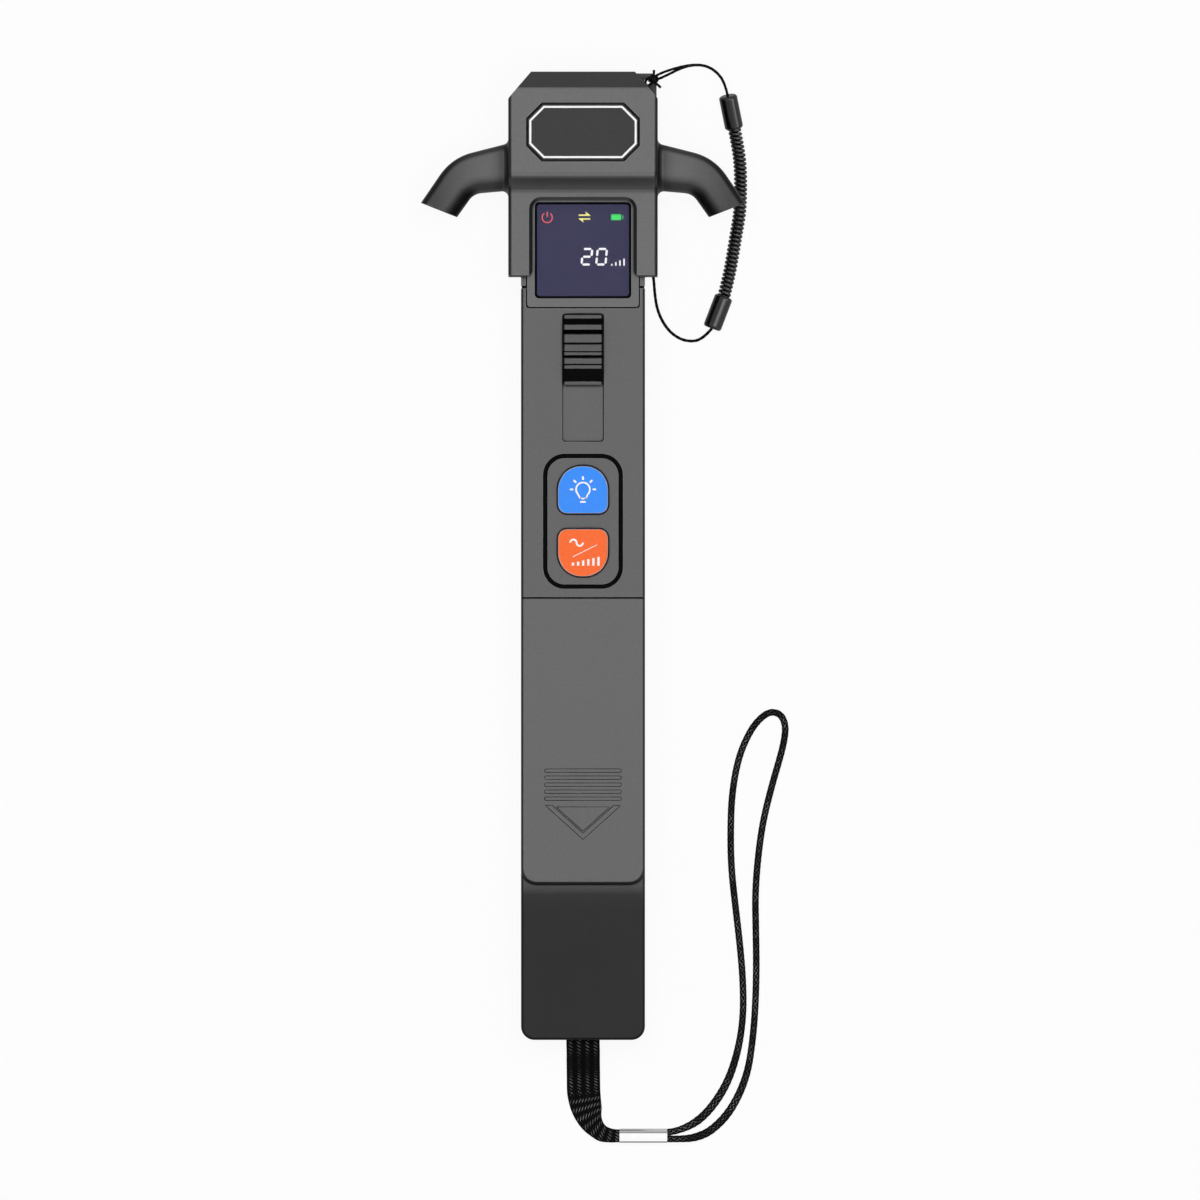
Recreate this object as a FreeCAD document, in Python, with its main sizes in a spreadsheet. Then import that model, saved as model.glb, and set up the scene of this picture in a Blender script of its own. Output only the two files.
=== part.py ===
import FreeCAD, Part
import math
import os
from types import SimpleNamespace
import Sketcher

Vector = FreeCAD.Vector

# Every size that can be set by itself, in millimetres, with what it measures.
SIZES = [
    ("handle_width", 30.36, "width of the handle"),
    ("handle_depth", 20.0, "depth of the handle from back to front"),
    ("wall", 2.0, "wall of the shells"),
    ("seam", 0.3, "gap at the seams between shells and door"),
    ("fit", 0.15, "running gap around sliding and seated pieces"),
    ("front_length", 75.55, "length of the front shell"),
    ("door_length", 70.0, "length of the battery door"),
    ("tail_length", 37.95, "length of the tail below the door"),
    ("neck_length", 2.9, "bare neck between the shells and the hood"),
    ("neck_gap", 0.7, "open gap between the head frame and the shells"),
    ("neck_groove", 2.6, "depth of the groove at the neck"),
    ("back_round", 2.0, "rounding of the long back edges"),
    ("front_round", 0.8, "rounding of the long front edges"),
    ("screw_place_x", 10.4, "case screws from the middle line"),
    ("screw_high", 21.5, "upper case screws below the top of the shells"),
    ("screw_low", 4.6, "lower case screws above the end of the front shell"),
    ("boss_diameter", 5.0, "screw bosses"),
    ("screw_shank", 2.0, "shank of a case screw"),
    ("screw_head", 4.2, "head of a case screw"),
    ("screw_head_depth", 1.6, "depth of a screw head"),
    ("screw_length", 13.0, "length of a case screw under its head"),
    ("cell_diameter", 10.5, "diameter of a battery cell"),
    ("cell_length", 43.5, "length of a battery cell without its nipple"),
    ("nipple_diameter", 3.8, "diameter of the nipple of a cell"),
    ("nipple_length", 1.0, "length of the nipple of a cell"),
    ("cell_spread", 0.35, "gap from the middle line to a cell"),
    ("cell_side_gap", 0.35, "gap from a cell to the side of the bay"),
    ("cell_lift", 2.0, "lift of the cells over the floor of the bay"),
    ("bay_length", 56.0, "length of the battery bay"),
    ("rib_height", 6.2, "height of the cradle ribs over the floor"),
    ("rib_length", 2.4, "length of a cradle rib"),
    ("contact_thickness", 0.4, "thickness of a contact plate"),
    ("contact_height", 9.0, "height of a contact plate"),
    ("contact_width", 8.6, "width of a terminal contact"),
    ("contact_spring", 6.0, "diameter of a contact spring"),
    ("door_thickness", 2.0, "thickness of the battery door"),
    ("door_corner", 4.0, "rounding of the lower door corners"),
    ("door_travel", 6.0, "slide of the door before it lifts off"),
    ("foot_length", 5.0, "length of a door foot"),
    ("foot_reach", 1.3, "reach of a door foot under the wall of the bay"),
    ("foot_height", 1.2, "height of a door foot"),
    ("foot_drop", 1.8, "door foot below the underside of the door"),
    ("leg_thickness", 1.3, "leg that carries a door foot"),
    ("grip_length", 19.0, "length of a grip rib on the door"),
    ("grip_height", 1.0, "height of a grip rib on the door"),
    ("grip_pitch", 1.72, "pitch of the grip ribs"),
    ("grip_rise", 0.25, "rise of the grip ribs and the arrow"),
    ("grip_bevel", 0.2, "bevel round the grip ribs and the arrow"),
    ("grip_down", 42.2, "first grip rib below the top of the door"),
    ("arrow_down", 50.6, "arrow below the top of the door"),
    ("arrow_fall", 8.6, "height of the arrow"),
    ("arrow_band", 1.75, "band of the arrow, measured down the middle line"),
    ("arrow_inset", 0.4, "upper edge of the arrow field below the ends of the arrow"),
    ("tail_tuck", 4.4, "tail under the end of the door"),
    ("tail_drop", 0.3, "tail below the underside of the door"),
    ("tail_flat", 4.0, "flat of the tail in front of the door"),
    ("tail_end_depth", 12.6, "depth of the tail at its end"),
    ("tail_bend", 32.0, "radius of the bend into the slope of the tail"),
    ("tail_corner", 3.3, "rounding of the tail corners"),
    ("strap_width", 8.2, "width of the wrist band"),
    ("strap_thickness", 1.5, "thickness of the wrist band"),
    ("strap_height", 7.5, "height of the strap slot over the back"),
    ("strap_room", 0.5, "gap around the band in its slot"),
    ("pin_diameter", 2.4, "diameter of the strap pin"),
    ("pin_inset", 7.0, "strap pin above the end of the tail"),
    ("pin_grip", 3.0, "strap pin in the tail on either side"),
    ("crimp_length", 11.7, "length of the strap crimp"),
    ("crimp_width", 3.5, "width of the strap crimp"),
    ("crimp_height", 2.9, "height of the strap crimp"),
    ("crimp_right", 20.65, "mouth of the crimp right of the middle line"),
    ("crimp_down", 23.56, "crimp below the end of the tail"),
    ("loop_diameter", 1.7, "diameter of the wrist loop cord"),
    ("panel_width", 27.3, "width of the display panel"),
    ("panel_overlap", 4.5, "display panel below the top of the shells"),
    ("panel_above", 20.9, "top of the display panel above the hood edge"),
    ("panel_gap", 0.35, "gap around the display panel"),
    ("panel_corner", 0.8, "rounding of the panel corners"),
    ("window_width", 23.7, "width of the display window"),
    ("window_height", 23.65, "height of the display window"),
    ("window_above", 6.47, "middle of the window above the hood edge"),
    ("window_corner", 1.05, "rounding of the window corners"),
    ("gasket_band", 0.56, "band of the screen gasket"),
    ("gasket_low", 0.1, "gasket and lens below the panel face"),
    ("module_width", 25.2, "width of the display module"),
    ("module_height", 26.0, "height of the display module"),
    ("module_depth", 3.0, "depth of the display module"),
    ("recess_width", 10.36, "width of the slider recess"),
    ("recess_length", 31.6, "length of the slider recess"),
    ("recess_down", 6.0, "slider recess below the top of the shells"),
    ("recess_depth", 0.8, "depth of the slider recess"),
    ("recess_corner", 0.9, "rounding of the recess corners"),
    ("thumb_length", 17.7, "length of the thumb slider"),
    ("thumb_side_gap", 0.3, "gap on either side of the thumb slider"),
    ("thumb_rise", 2.6, "rise of the thumb ridges over the front face"),
    ("slide_travel", 13.6, "travel of the thumb slider"),
    ("stem_width", 3.6, "width of the stem of the thumb slider"),
    ("stem_length", 3.0, "length of the stem of the thumb slider"),
    ("stem_down", 0.7, "stem below the top of the thumb slider"),
    ("stem_grip", 2.0, "depth of the stem in the carriage"),
    ("carriage_width", 12.0, "width of the slide carriage"),
    ("carriage_length", 6.2, "length of the slide carriage"),
    ("carriage_drop", 3.5, "carriage below the middle of the rod"),
    ("rod_diameter", 4.0, "diameter of the plunger rod"),
    ("rod_grip", 4.0, "depth of the rod in the carriage and the plunger"),
    ("fibre_height", 11.0, "height of the fibre over the back"),
    ("fibre_above", 27.2, "lower edge of the jaw above the hood edge"),
    ("fibre_slot", 2.4, "side slot for the fibre under the jaw"),
    ("nose_rise", 5.5, "rise of the nose of the plunger"),
    ("nose_round", 9.0, "rounding of the nose of the plunger"),
    ("nose_gap", 0.35, "gap between the nose and the jaw at rest"),
    ("plunger_width", 18.0, "width of the plunger"),
    ("plunger_depth", 6.6, "depth of the plunger"),
    ("plunger_length", 7.2, "length of the plunger below its nose"),
    ("spring_wire", 0.7, "wire of the return spring"),
    ("spring_diameter", 5.6, "mean diameter of the return spring"),
    ("spring_turns", 7.0, "turns of the return spring"),
    ("spigot_length", 6.0, "head frame in the shells below the neck"),
    ("bulkhead", 2.4, "bulkhead that the return spring stands on"),
    ("spine", 4.2, "back of the head frame behind the fibre slot"),
    ("jaw_front", 20.0, "front of the jaw over the back"),
    ("jaw_length", 17.2, "length of the jaw"),
    ("jaw_chamfer", 3.4, "chamfer of the jaw corners"),
    ("diode_diameter", 4.6, "diameter of a photodiode"),
    ("diode_length", 4.0, "length of a photodiode"),
    ("diode_inset", 1.2, "photodiode behind the face of the jaw"),
    ("diode_window", 1.6, "diameter of the light hole to a photodiode"),
    ("lug_reach", 2.8, "reach of the tether lug"),
    ("lug_length", 3.4, "length of the tether lug"),
    ("lug_height", 3.4, "height of the tether lug"),
    ("lug_above", 1.2, "tether lug above the hood edge"),
    ("lug_hole", 1.4, "hole of the tether lug"),
    ("keypad_width", 19.6, "width of the keypad opening"),
    ("keypad_length", 33.1, "length of the keypad opening"),
    ("keypad_corner", 5.3, "rounding of the keypad opening"),
    ("keypad_down", 57.0, "middle of the keypad below the top of the shells"),
    ("seal_band", 1.12, "band of the keypad seal"),
    ("seal_low", 0.35, "keypad seal below the front face"),
    ("flange_margin", 0.8, "keypad flange beyond the opening"),
    ("flange_thickness", 1.0, "thickness of the keypad flange"),
    ("flange_short", 5.6, "keypad flange short of the opening at its lower end"),
    ("button_width", 12.65, "width of a button"),
    ("button_height", 12.05, "height of a button"),
    ("button_arch", 6.0, "rounding of the arched side of a button"),
    ("button_corner", 2.5, "rounding of the straight side of a button"),
    ("button_offset", 7.72, "middle of a button from the middle of the keypad"),
    ("button_gap", 0.2, "gap around a button"),
    ("button_rise", 0.8, "rise of a button over the keypad plate"),
    ("button_round", 0.45, "rounding of the top edge of a button"),
    ("button_travel", 0.8, "travel of a button"),
    ("button_lip", 0.8, "lip that keeps a button under the plate"),
    ("button_lip_height", 0.6, "height of that lip"),
    ("switch_size", 6.0, "side of a switch"),
    ("switch_height", 3.4, "height of the case of a switch"),
    ("switch_stud", 3.4, "diameter of the stud of a switch"),
    ("board_width", 21.0, "width of the circuit board"),
    ("board_length", 40.4, "length of the circuit board"),
    ("board_thickness", 1.6, "thickness of the circuit board"),
    ("board_above", 7.6, "circuit board above the end of the front shell"),
    ("post_diameter", 3.6, "posts under the circuit board"),
    ("post_inset", 3.0, "posts from the edges of the circuit board"),
    ("hood_length", 50.2, "length of the hood"),
    ("hood_side_wall", 2.7, "side wall of the hood"),
    ("hood_side_gap", 0.42, "gap between the hood and the sides of the head"),
    ("hood_wall", 1.8, "front, back and end walls of the hood"),
    ("hood_gap", 0.4, "gap between the hood and the head in depth"),
    ("hood_travel", 50.0, "pull that takes the hood off the head"),
    ("bulge_rise", 4.8, "rise of the upper hood over its lower front"),
    ("bulge_low", 21.5, "foot of the step above the hood edge"),
    ("bulge_slope", 3.0, "length of the step"),
    ("bulge_round", 2.4, "rounding of the step"),
    ("bevel_length", 3.9, "bevel at the end of the hood, along it"),
    ("bevel_fall", 4.8, "bevel at the end of the hood, in depth"),
    ("bevel_round", 1.3, "rounding of the bevel"),
    ("corner_across", 5.6, "cut corner of the hood, across"),
    ("corner_along", 6.6, "cut corner of the hood, along"),
    ("hood_round", 1.1, "rounding of the hood edges"),
    ("notch_width", 24.75, "width of the display notch"),
    ("notch_height", 18.7, "height of the display notch"),
    ("notch_round", 2.2, "rounding of the upper notch corners"),
    ("notch_bevel", 0.85, "bevel round the display notch"),
    ("notch_flare", 1.6, "rounding at the mouth of the notch"),
    ("mouth_bevel", 0.35, "bevel of the front edge of the hood mouth"),
    ("slit_width", 5.0, "side slit of the hood"),
    ("arm_depth", 12.8, "depth of an arm"),
    ("arm_wall", 1.7, "wall of an arm"),
    ("arm_round", 2.0, "rounding of the upper long edges of an arm"),
    ("arm_low_round", 4.9, "rounding of the lower long edges of an arm"),
    ("arm_root_round", 1.5, "fillet where an arm meets the hood"),
    ("arm_top_root", 33.1, "upper edge of an arm at the hood"),
    ("arm_top_bend_out", 13.85, "upper bend of an arm, out from the hood"),
    ("arm_top_bend_up", 29.18, "upper bend of an arm, above the hood edge"),
    ("arm_top_bend_round", 13.5, "radius of the upper bend"),
    ("arm_tip_out", 21.4, "upper corner of the arm mouth, out from the hood"),
    ("arm_tip_up", 18.16, "upper corner of the arm mouth, above the hood edge"),
    ("arm_heel_out", 12.47, "lower corner of the arm mouth, out from the hood"),
    ("arm_heel_up", 14.61, "lower corner of the arm mouth, above the hood edge"),
    ("arm_low_bend_out", 8.44, "lower bend of an arm, out from the hood"),
    ("arm_low_bend_up", 20.28, "lower bend of an arm, above the hood edge"),
    ("arm_low_bend_round", 4.0, "radius of the lower bend"),
    ("arm_low_root", 21.15, "lower edge of an arm at the hood"),
    ("plate_width", 27.0, "width of the octagonal plate"),
    ("plate_height", 13.6, "height of the octagonal plate"),
    ("plate_chamfer", 3.6, "cut corners of the octagonal plate"),
    ("plate_down", 14.85, "middle of the plate below the end of the hood"),
    ("plate_depth", 0.6, "recess of the octagonal plate"),
    ("plate_bevel", 0.45, "bevel round the recess of the plate"),
    ("plate_low", 0.15, "plate face below the hood face"),
    ("tab_thickness", 2.4, "thickness of the eyelet tab"),
    ("tab_height", 4.0, "eyelet tab over the back"),
    ("tab_inset", 0.25, "eyelet tab inside the corner of the hood"),
    ("tab_corner", 1.4, "rounding of the eyelet tab"),
    ("eyelet_diameter", 1.9, "diameter of the eyelet"),
    ("eyelet_inset", 2.35, "eyelet from the corner of the hood"),
    ("string_diameter", 0.6, "diameter of the tether strings"),
    ("coil_diameter", 3.2, "outer diameter of the tether coil"),
    ("ferrule_diameter", 4.5, "diameter of the tether ferrules"),
    ("ferrule_round", 0.7, "rounding of the ferrule ends"),
    ("ferrule_length", 8.5, "length of a tether ferrule"),
    ("floor_gap", 0.05, "lift of the cords over the table"),
]

doc = FreeCAD.newDocument("fibre_identifier")
sheet = doc.addObject("Spreadsheet::Sheet", "Sizes")
for row, (alias, value, note) in enumerate(SIZES, start=1):
    sheet.set(f"A{row}", note)
    sheet.set(f"B{row}", str(value))
    sheet.setAlias(f"B{row}", alias)
doc.recompute()


class Size:
    """A length together with the sheet expression that gives it."""

    def __init__(self, value, text):
        self.value = value
        self.text = text

    def __add__(self, other):
        other = as_size(other)
        return Size(self.value + other.value, f"({self.text} + {other.text})")

    def __sub__(self, other):
        other = as_size(other)
        return Size(self.value - other.value, f"({self.text} - {other.text})")

    def __mul__(self, other):
        other = as_size(other)
        return Size(self.value * other.value, f"({self.text} * {other.text})")

    def __truediv__(self, other):
        other = as_size(other)
        return Size(self.value / other.value, f"({self.text} / {other.text})")

    def __neg__(self):
        return Size(-self.value, f"(0 - {self.text})")


def as_size(number):
    return number if isinstance(number, Size) else Size(float(number), repr(float(number)))


s = SimpleNamespace(**{alias: Size(value, f"Sizes.{alias}") for alias, value, note in SIZES})
NONE = as_size(0)
PIECES = {}


def bind(item, name, length):
    item.setExpression(name, as_size(length).text)


def keep(label, item):
    item.Label = label
    PIECES[label] = item
    return item


def rectangle(left, right, low, high, corner=None):
    return [(left, low, corner), (right, low, corner), (right, high, corner), (left, high, corner)]


def locate(sketch, item, point, x, y):
    for kind, length in (("DistanceX", x), ("DistanceY", y)):
        place = sketch.addConstraint(Sketcher.Constraint(kind, -1, 1, item, point, length.value))
        sketch.setExpression(f"Constraints[{place}]", length.text)


def draw_circle(sketch, x, y, diameter):
    centre = Vector(x.value, y.value, 0)
    item = sketch.addGeometry(Part.Circle(centre, Vector(0, 0, 1), diameter.value / 2), False)
    locate(sketch, item, 3, x, y)
    place = sketch.addConstraint(Sketcher.Constraint("Diameter", item, diameter.value))
    sketch.setExpression(f"Constraints[{place}]", diameter.text)


def draw_outline(sketch, corners):
    """Closed outline through corners given as x, y and rounding, with no rounding where it is None."""
    corners = [(as_size(x), as_size(y), r) for x, y, r in corners]
    count = len(corners)
    spots = [Vector(x.value, y.value, 0) for x, y, r in corners]
    arrive, leave, centres = [], [], []
    for n in range(count):
        back = (spots[n - 1] - spots[n]).normalize()
        on = (spots[(n + 1) % count] - spots[n]).normalize()
        radius = corners[n][2].value if corners[n][2] is not None else 0.0
        half = back.getAngle(on) / 2
        reach = radius / math.tan(half)
        arrive.append(spots[n] + back * reach)
        leave.append(spots[n] + on * reach)
        centres.append(spots[n] + (back + on).normalize() * (radius / math.sin(half)))
    lines = []
    for n in range(count):
        line = Part.LineSegment(leave[n], arrive[(n + 1) % count])
        lines.append(sketch.addGeometry(line, False))
    for n, (x, y, r) in enumerate(corners):
        before, after = lines[n - 1], lines[n]
        if r is None:
            sketch.addConstraint(Sketcher.Constraint("Coincident", before, 2, after, 1))
            locate(sketch, after, 1, x, y)
            continue
        turn_left = (spots[n] - spots[n - 1]).cross(spots[(n + 1) % count] - spots[n]).z > 0
        first, last = (arrive[n], leave[n]) if turn_left else (leave[n], arrive[n])
        start = math.atan2(first.y - centres[n].y, first.x - centres[n].x)
        stop = math.atan2(last.y - centres[n].y, last.x - centres[n].x)
        if stop < start:
            stop += 2 * math.pi
        circle = Part.Circle(centres[n], Vector(0, 0, 1), r.value)
        arc = sketch.addGeometry(Part.ArcOfCircle(circle, start, stop), False)
        corner = sketch.addGeometry(Part.Point(spots[n]), True)
        locate(sketch, corner, 1, x, y)
        sketch.addConstraint(Sketcher.Constraint("PointOnObject", corner, 1, before))
        sketch.addConstraint(Sketcher.Constraint("PointOnObject", corner, 1, after))
        sketch.addConstraint(Sketcher.Constraint("Tangent", before, 2, arc, 1 if turn_left else 2))
        sketch.addConstraint(Sketcher.Constraint("Tangent", after, 1, arc, 2 if turn_left else 1))
        place = sketch.addConstraint(Sketcher.Constraint("Radius", arc, r.value))
        sketch.setExpression(f"Constraints[{place}]", r.text)


class Piece:
    """A body grown feature by feature from sketches bound to the sheet."""

    def __init__(self, label):
        self.label = label
        self.body = keep(label, doc.addObject("PartDesign::Body", label))

    def feature(self, kind, plane, low, high, outlines):
        low, high = as_size(low), as_size(high)
        before = self.body.Shape.Volume if self.body.Tip else 0.0
        sketch = self.body.newObject("Sketcher::SketchObject", self.label + "_sketch")
        base = [item for item in self.body.Origin.OriginFeatures if item.Role == plane + "_Plane"]
        sketch.AttachmentSupport = (base[0], [""])
        sketch.MapMode = "FlatFace"
        bind(sketch, "AttachmentOffset.Base.z", -high if plane == "XZ" else low)
        for outline in outlines:
            if isinstance(outline, tuple):
                draw_circle(sketch, *[as_size(length) for length in outline])
            else:
                draw_outline(sketch, outline)
        feature = self.body.newObject("PartDesign::" + kind, f"{self.label}_{kind.lower()}")
        feature.Profile = sketch
        feature.Reversed = kind == "Pocket"
        bind(feature, "Length", high - low)
        doc.recompute()
        grown = self.body.Shape.Volume - before
        if (grown > 0) != (kind == "Pad") or abs(grown) < 1e-6:
            raise RuntimeError(f"{feature.Name} of {self.label} changed the volume by {grown}")

    def add(self, plane, low, high, *outlines):
        self.feature("Pad", plane, low, high, outlines)

    def cut(self, plane, low, high, *outlines):
        self.feature("Pocket", plane, low, high, outlines)

    def drill(self, start, direction, diameter, depth):
        hole = self.body.newObject("PartDesign::SubtractiveCylinder", self.label + "_hole")
        bind(hole, "Radius", diameter / 2)
        bind(hole, "Height", depth)
        hole.Placement = FreeCAD.Placement(start, FreeCAD.Rotation(Vector(0, 0, 1), direction))
        doc.recompute()

    def dress(self, kind, name, length, chosen):
        base = self.body.Tip
        names = [f"Edge{n}" for n, edge in enumerate(base.Shape.Edges, start=1) if chosen(edge)]
        if not names:
            raise RuntimeError(f"no edge for a {kind.lower()} on {self.label}")
        dressed = self.body.newObject("PartDesign::" + kind, f"{self.label}_{kind.lower()}")
        dressed.Base = (base, names)
        bind(dressed, name, length)
        doc.recompute()
        if "Invalid" in dressed.State or not dressed.Shape.isValid():
            raise RuntimeError(f"{kind.lower()} of {self.label} failed on {len(names)} edges")

    def round(self, radius, chosen):
        self.dress("Fillet", "Radius", radius, chosen)

    def bevel(self, size, chosen):
        self.dress("Chamfer", "Size", size, chosen)


def middle(edge):
    return edge.valueAt((edge.FirstParameter + edge.LastParameter) / 2)


def runs(axis, **near):
    """Chooses straight edges along an axis at the places given, on both sides where x is given."""
    def chosen(edge):
        if edge.Curve.TypeId != "Part::GeomLine":
            return False
        if abs(abs(getattr(edge.tangentAt(edge.FirstParameter), axis)) - 1) > 1e-5:
            return False
        spot = middle(edge)
        for name, place in near.items():
            found = abs(getattr(spot, name)) if name == "x" else getattr(spot, name)
            if abs(found - as_size(place).value) > 0.02:
                return False
        return True
    return chosen


def lies(height, left, right, low, high):
    """Chooses edges that lie flat at a height within a rectangle."""
    def chosen(edge):
        box_of = edge.BoundBox
        level = box_of.ZLength < 0.01 and abs(box_of.ZMin - height.value) < 0.01
        across = box_of.XMin > left.value - 0.01 and box_of.XMax < right.value + 0.01
        return level and across and box_of.YMin > low.value - 0.01 and box_of.YMax < high.value + 0.01
    return chosen


def cylinder(label, start, direction, diameter, length):
    item = keep(label, doc.addObject("Part::Cylinder", label))
    bind(item, "Radius", diameter / 2)
    bind(item, "Height", length)
    item.Placement = FreeCAD.Placement(start, FreeCAD.Rotation(Vector(0, 0, 1), direction))
    return item


def box(label, left, right, low, high, back, front):
    item = keep(label, doc.addObject("Part::Box", label))
    bind(item, "Length", right - left)
    bind(item, "Width", high - low)
    bind(item, "Height", front - back)
    bind(item, "Placement.Base.x", left)
    bind(item, "Placement.Base.y", low)
    bind(item, "Placement.Base.z", back)
    return item


def group(label, kind, items):
    for item in items:
        PIECES.pop(item.Label)
    whole = keep(label, doc.addObject("Part::" + kind, label))
    if kind == "Compound":
        whole.Links = items
    else:
        whole.Shapes = items
    return whole


# Places along the object, from the tail end to the end of the hood, with the origin half way.
overall = s.hood_length + s.neck_length + s.front_length + s.door_length + s.tail_length + s.seam * 2
head_end = overall / 2
tail_end = -head_end
hood_low = head_end - s.hood_length
shell_top = hood_low - s.neck_length
front_low = shell_top - s.front_length
door_top = front_low - s.seam
door_low = door_top - s.door_length
rear_low = door_low + s.tail_tuck
half = s.handle_width / 2
inner = half - s.wall
part_line = s.handle_depth / 2
face = s.handle_depth - s.wall
door_under = s.handle_depth - s.door_thickness
screw_spots = [
    (side, spot)
    for side in (s.screw_place_x, -s.screw_place_x)
    for spot in (shell_top - s.screw_high, front_low + s.screw_low)
]

# Battery bay: two cells side by side, lifted off the floor by cradle ribs.
bay_half = s.cell_diameter + s.cell_spread + s.cell_side_gap
bay_top = door_top - s.wall
bay_low = bay_top - s.bay_length
cell_x = s.cell_diameter / 2 + s.cell_spread
cell_z = s.wall + s.cell_lift + s.cell_diameter / 2
groove_high = door_under - s.foot_drop + s.fit
groove_low = groove_high - s.foot_height - s.fit * 2
foot_tops = [bay_top - s.foot_length * 0.8, bay_low + s.foot_length * 2 + s.door_travel]

# Circuit board on posts under the keypad.
board_low = front_low + s.board_above
board_high = board_low + s.board_length
lip_low = face - s.flange_thickness - s.button_lip_height - s.fit
stud_top = lip_low - s.button_travel - s.fit / 2
board_top = stud_top - s.switch_height - s.button_travel
board_back = board_top - s.board_thickness
post_spots = [
    (side, spot)
    for side in (s.board_width / 2 - s.post_inset, -(s.board_width / 2 - s.post_inset))
    for spot in (board_low + s.post_inset, board_high - s.post_inset)
]

# Rear shell: the back of the handle, with the battery bay, the screw bosses and the board posts.
rear = Piece("rear_shell")
rear.add("YZ", -half, half, [
    (rear_low, NONE, None), (shell_top, NONE, None), (shell_top, part_line, None),
    (door_top, part_line, None), (door_top, door_under, None), (rear_low, door_under, None),
])
rear.round(s.back_round, runs("y", x=half, z=0))
rear.cut("XY", s.wall, part_line + s.wall, rectangle(-inner, inner, front_low + s.wall, shell_top + s.wall))
rear.cut("XY", s.wall, door_under + s.wall, rectangle(-bay_half, bay_half, bay_low, bay_top))
ribs = []
for share in (0.2, 0.5, 0.8):
    rib_y = bay_low + s.bay_length * share
    ribs.append(rectangle(-bay_half, bay_half, rib_y - s.rib_length / 2, rib_y + s.rib_length / 2))
rear.add("XY", s.wall, s.wall + s.rib_height, *ribs)
cradle = s.cell_diameter + s.fit * 2
rear.cut("XZ", bay_low, bay_top, (cell_x, cell_z, cradle))
rear.cut("XZ", bay_low, bay_top, (-cell_x, cell_z, cradle))
reach = bay_half + s.foot_reach + s.fit
rear.cut("XY", groove_low, groove_high,
         rectangle(-reach, -bay_half, bay_low + s.foot_length / 2, bay_top - s.foot_length / 2),
         rectangle(bay_half, reach, bay_low + s.foot_length / 2, bay_top - s.foot_length / 2))
for foot_top in foot_tops:
    way_high = foot_top - s.door_travel + s.fit * 2
    way_low = way_high - s.foot_length - s.fit * 4
    rear.cut("XY", groove_high, door_under + s.wall,
             rectangle(-reach, -bay_half, way_low, way_high), rectangle(bay_half, reach, way_low, way_high))
for side, spot in screw_spots:
    rear.add("XY", s.wall, part_line, (side, spot, s.boss_diameter))
for side, spot in post_spots:
    rear.add("XY", s.wall, board_back, (side, spot, s.post_diameter))
rear.cut("XY", 0, part_line, *[(x, y, s.screw_shank + s.fit * 2) for x, y in screw_spots])
rear.cut("XY", 0, s.screw_head_depth + s.fit, *[(x, y, s.screw_head + s.fit * 2) for x, y in screw_spots])

# Front shell: carries the panel, the slider recess and the keypad opening.
panel_half = s.panel_width / 2
panel_low = shell_top - s.panel_overlap
panel_top = hood_low + s.panel_above
recess_top = shell_top - s.recess_down
recess_low = recess_top - s.recess_length
recess_floor = s.handle_depth - s.recess_depth
thumb_top = recess_top - s.fit
thumb_low = thumb_top - s.thumb_length
stem_top = thumb_top - s.stem_down
stem_low = stem_top - s.stem_length
pad_y = shell_top - s.keypad_down
pad_half = s.keypad_width / 2
pad_reach = s.keypad_length / 2
front = Piece("front_shell")
front.add("XY", part_line, s.handle_depth, rectangle(-half, half, front_low, shell_top))
front.round(s.front_round, runs("y", x=half, z=s.handle_depth))
front.cut("XY", part_line, face, rectangle(-inner, inner, front_low + s.wall, shell_top + s.wall))
for side, spot in screw_spots:
    front.add("XY", part_line, face, (side, spot, s.boss_diameter))
seat = panel_half + s.panel_gap
front.cut("XY", face, s.handle_depth, [
    (-seat, panel_low - s.panel_gap, s.panel_corner), (seat, panel_low - s.panel_gap, s.panel_corner),
    (seat, shell_top + s.wall, None), (-seat, shell_top + s.wall, None),
])
front.cut("XY", recess_floor, s.handle_depth,
          rectangle(-s.recess_width / 2, s.recess_width / 2, recess_low, recess_top, s.recess_corner))
slit_half = s.stem_width / 2 + s.fit
front.cut("XY", face, recess_floor,
          rectangle(-slit_half, slit_half, stem_low - s.slide_travel - s.fit, stem_top + s.fit))
front.cut("XY", face, s.handle_depth,
          rectangle(-pad_half, pad_half, pad_y - pad_reach, pad_y + pad_reach, s.keypad_corner))
front.cut("XY", part_line, part_line + s.screw_length - part_line + s.wall,
          *[(x, y, s.screw_shank + s.fit * 2) for x, y in screw_spots])

# Case screws, driven from the back.
screws = []
for number, (side, spot) in enumerate(screw_spots, start=1):
    foot = Vector(side.value, spot.value, s.fit.value / 2)
    neck = foot + Vector(0, 0, s.screw_head_depth.value)
    screws.append(group(f"case_screw_{number}", "MultiFuse", [
        cylinder(f"screw_head_{number}", foot, Vector(0, 0, 1), s.screw_head, s.screw_head_depth),
        cylinder(f"screw_shank_{number}", neck, Vector(0, 0, 1), s.screw_shank, s.screw_length - s.wall),
    ]))
group("case_screws", "Compound", screws)

# Battery cells, the one the other way round, with the nipple as part of the cell.
contact_room = (s.bay_length - s.cell_length - s.nipple_length) / 2
for label, side, way in (("left_cell", -1, 1), ("right_cell", 1, -1)):
    low_end = bay_low.value + contact_room.value + (0 if way > 0 else s.nipple_length.value)
    high_end = low_end + s.cell_length.value
    can = Vector(side * cell_x.value, low_end, cell_z.value)
    tip = Vector(side * cell_x.value, high_end if way > 0 else low_end, cell_z.value)
    group(label, "MultiFuse", [
        cylinder(label + "_can", can, Vector(0, 1, 0), s.cell_diameter, s.cell_length),
        cylinder(label + "_nipple", tip, Vector(0, way, 0), s.nipple_diameter, s.nipple_length),
    ])

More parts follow.
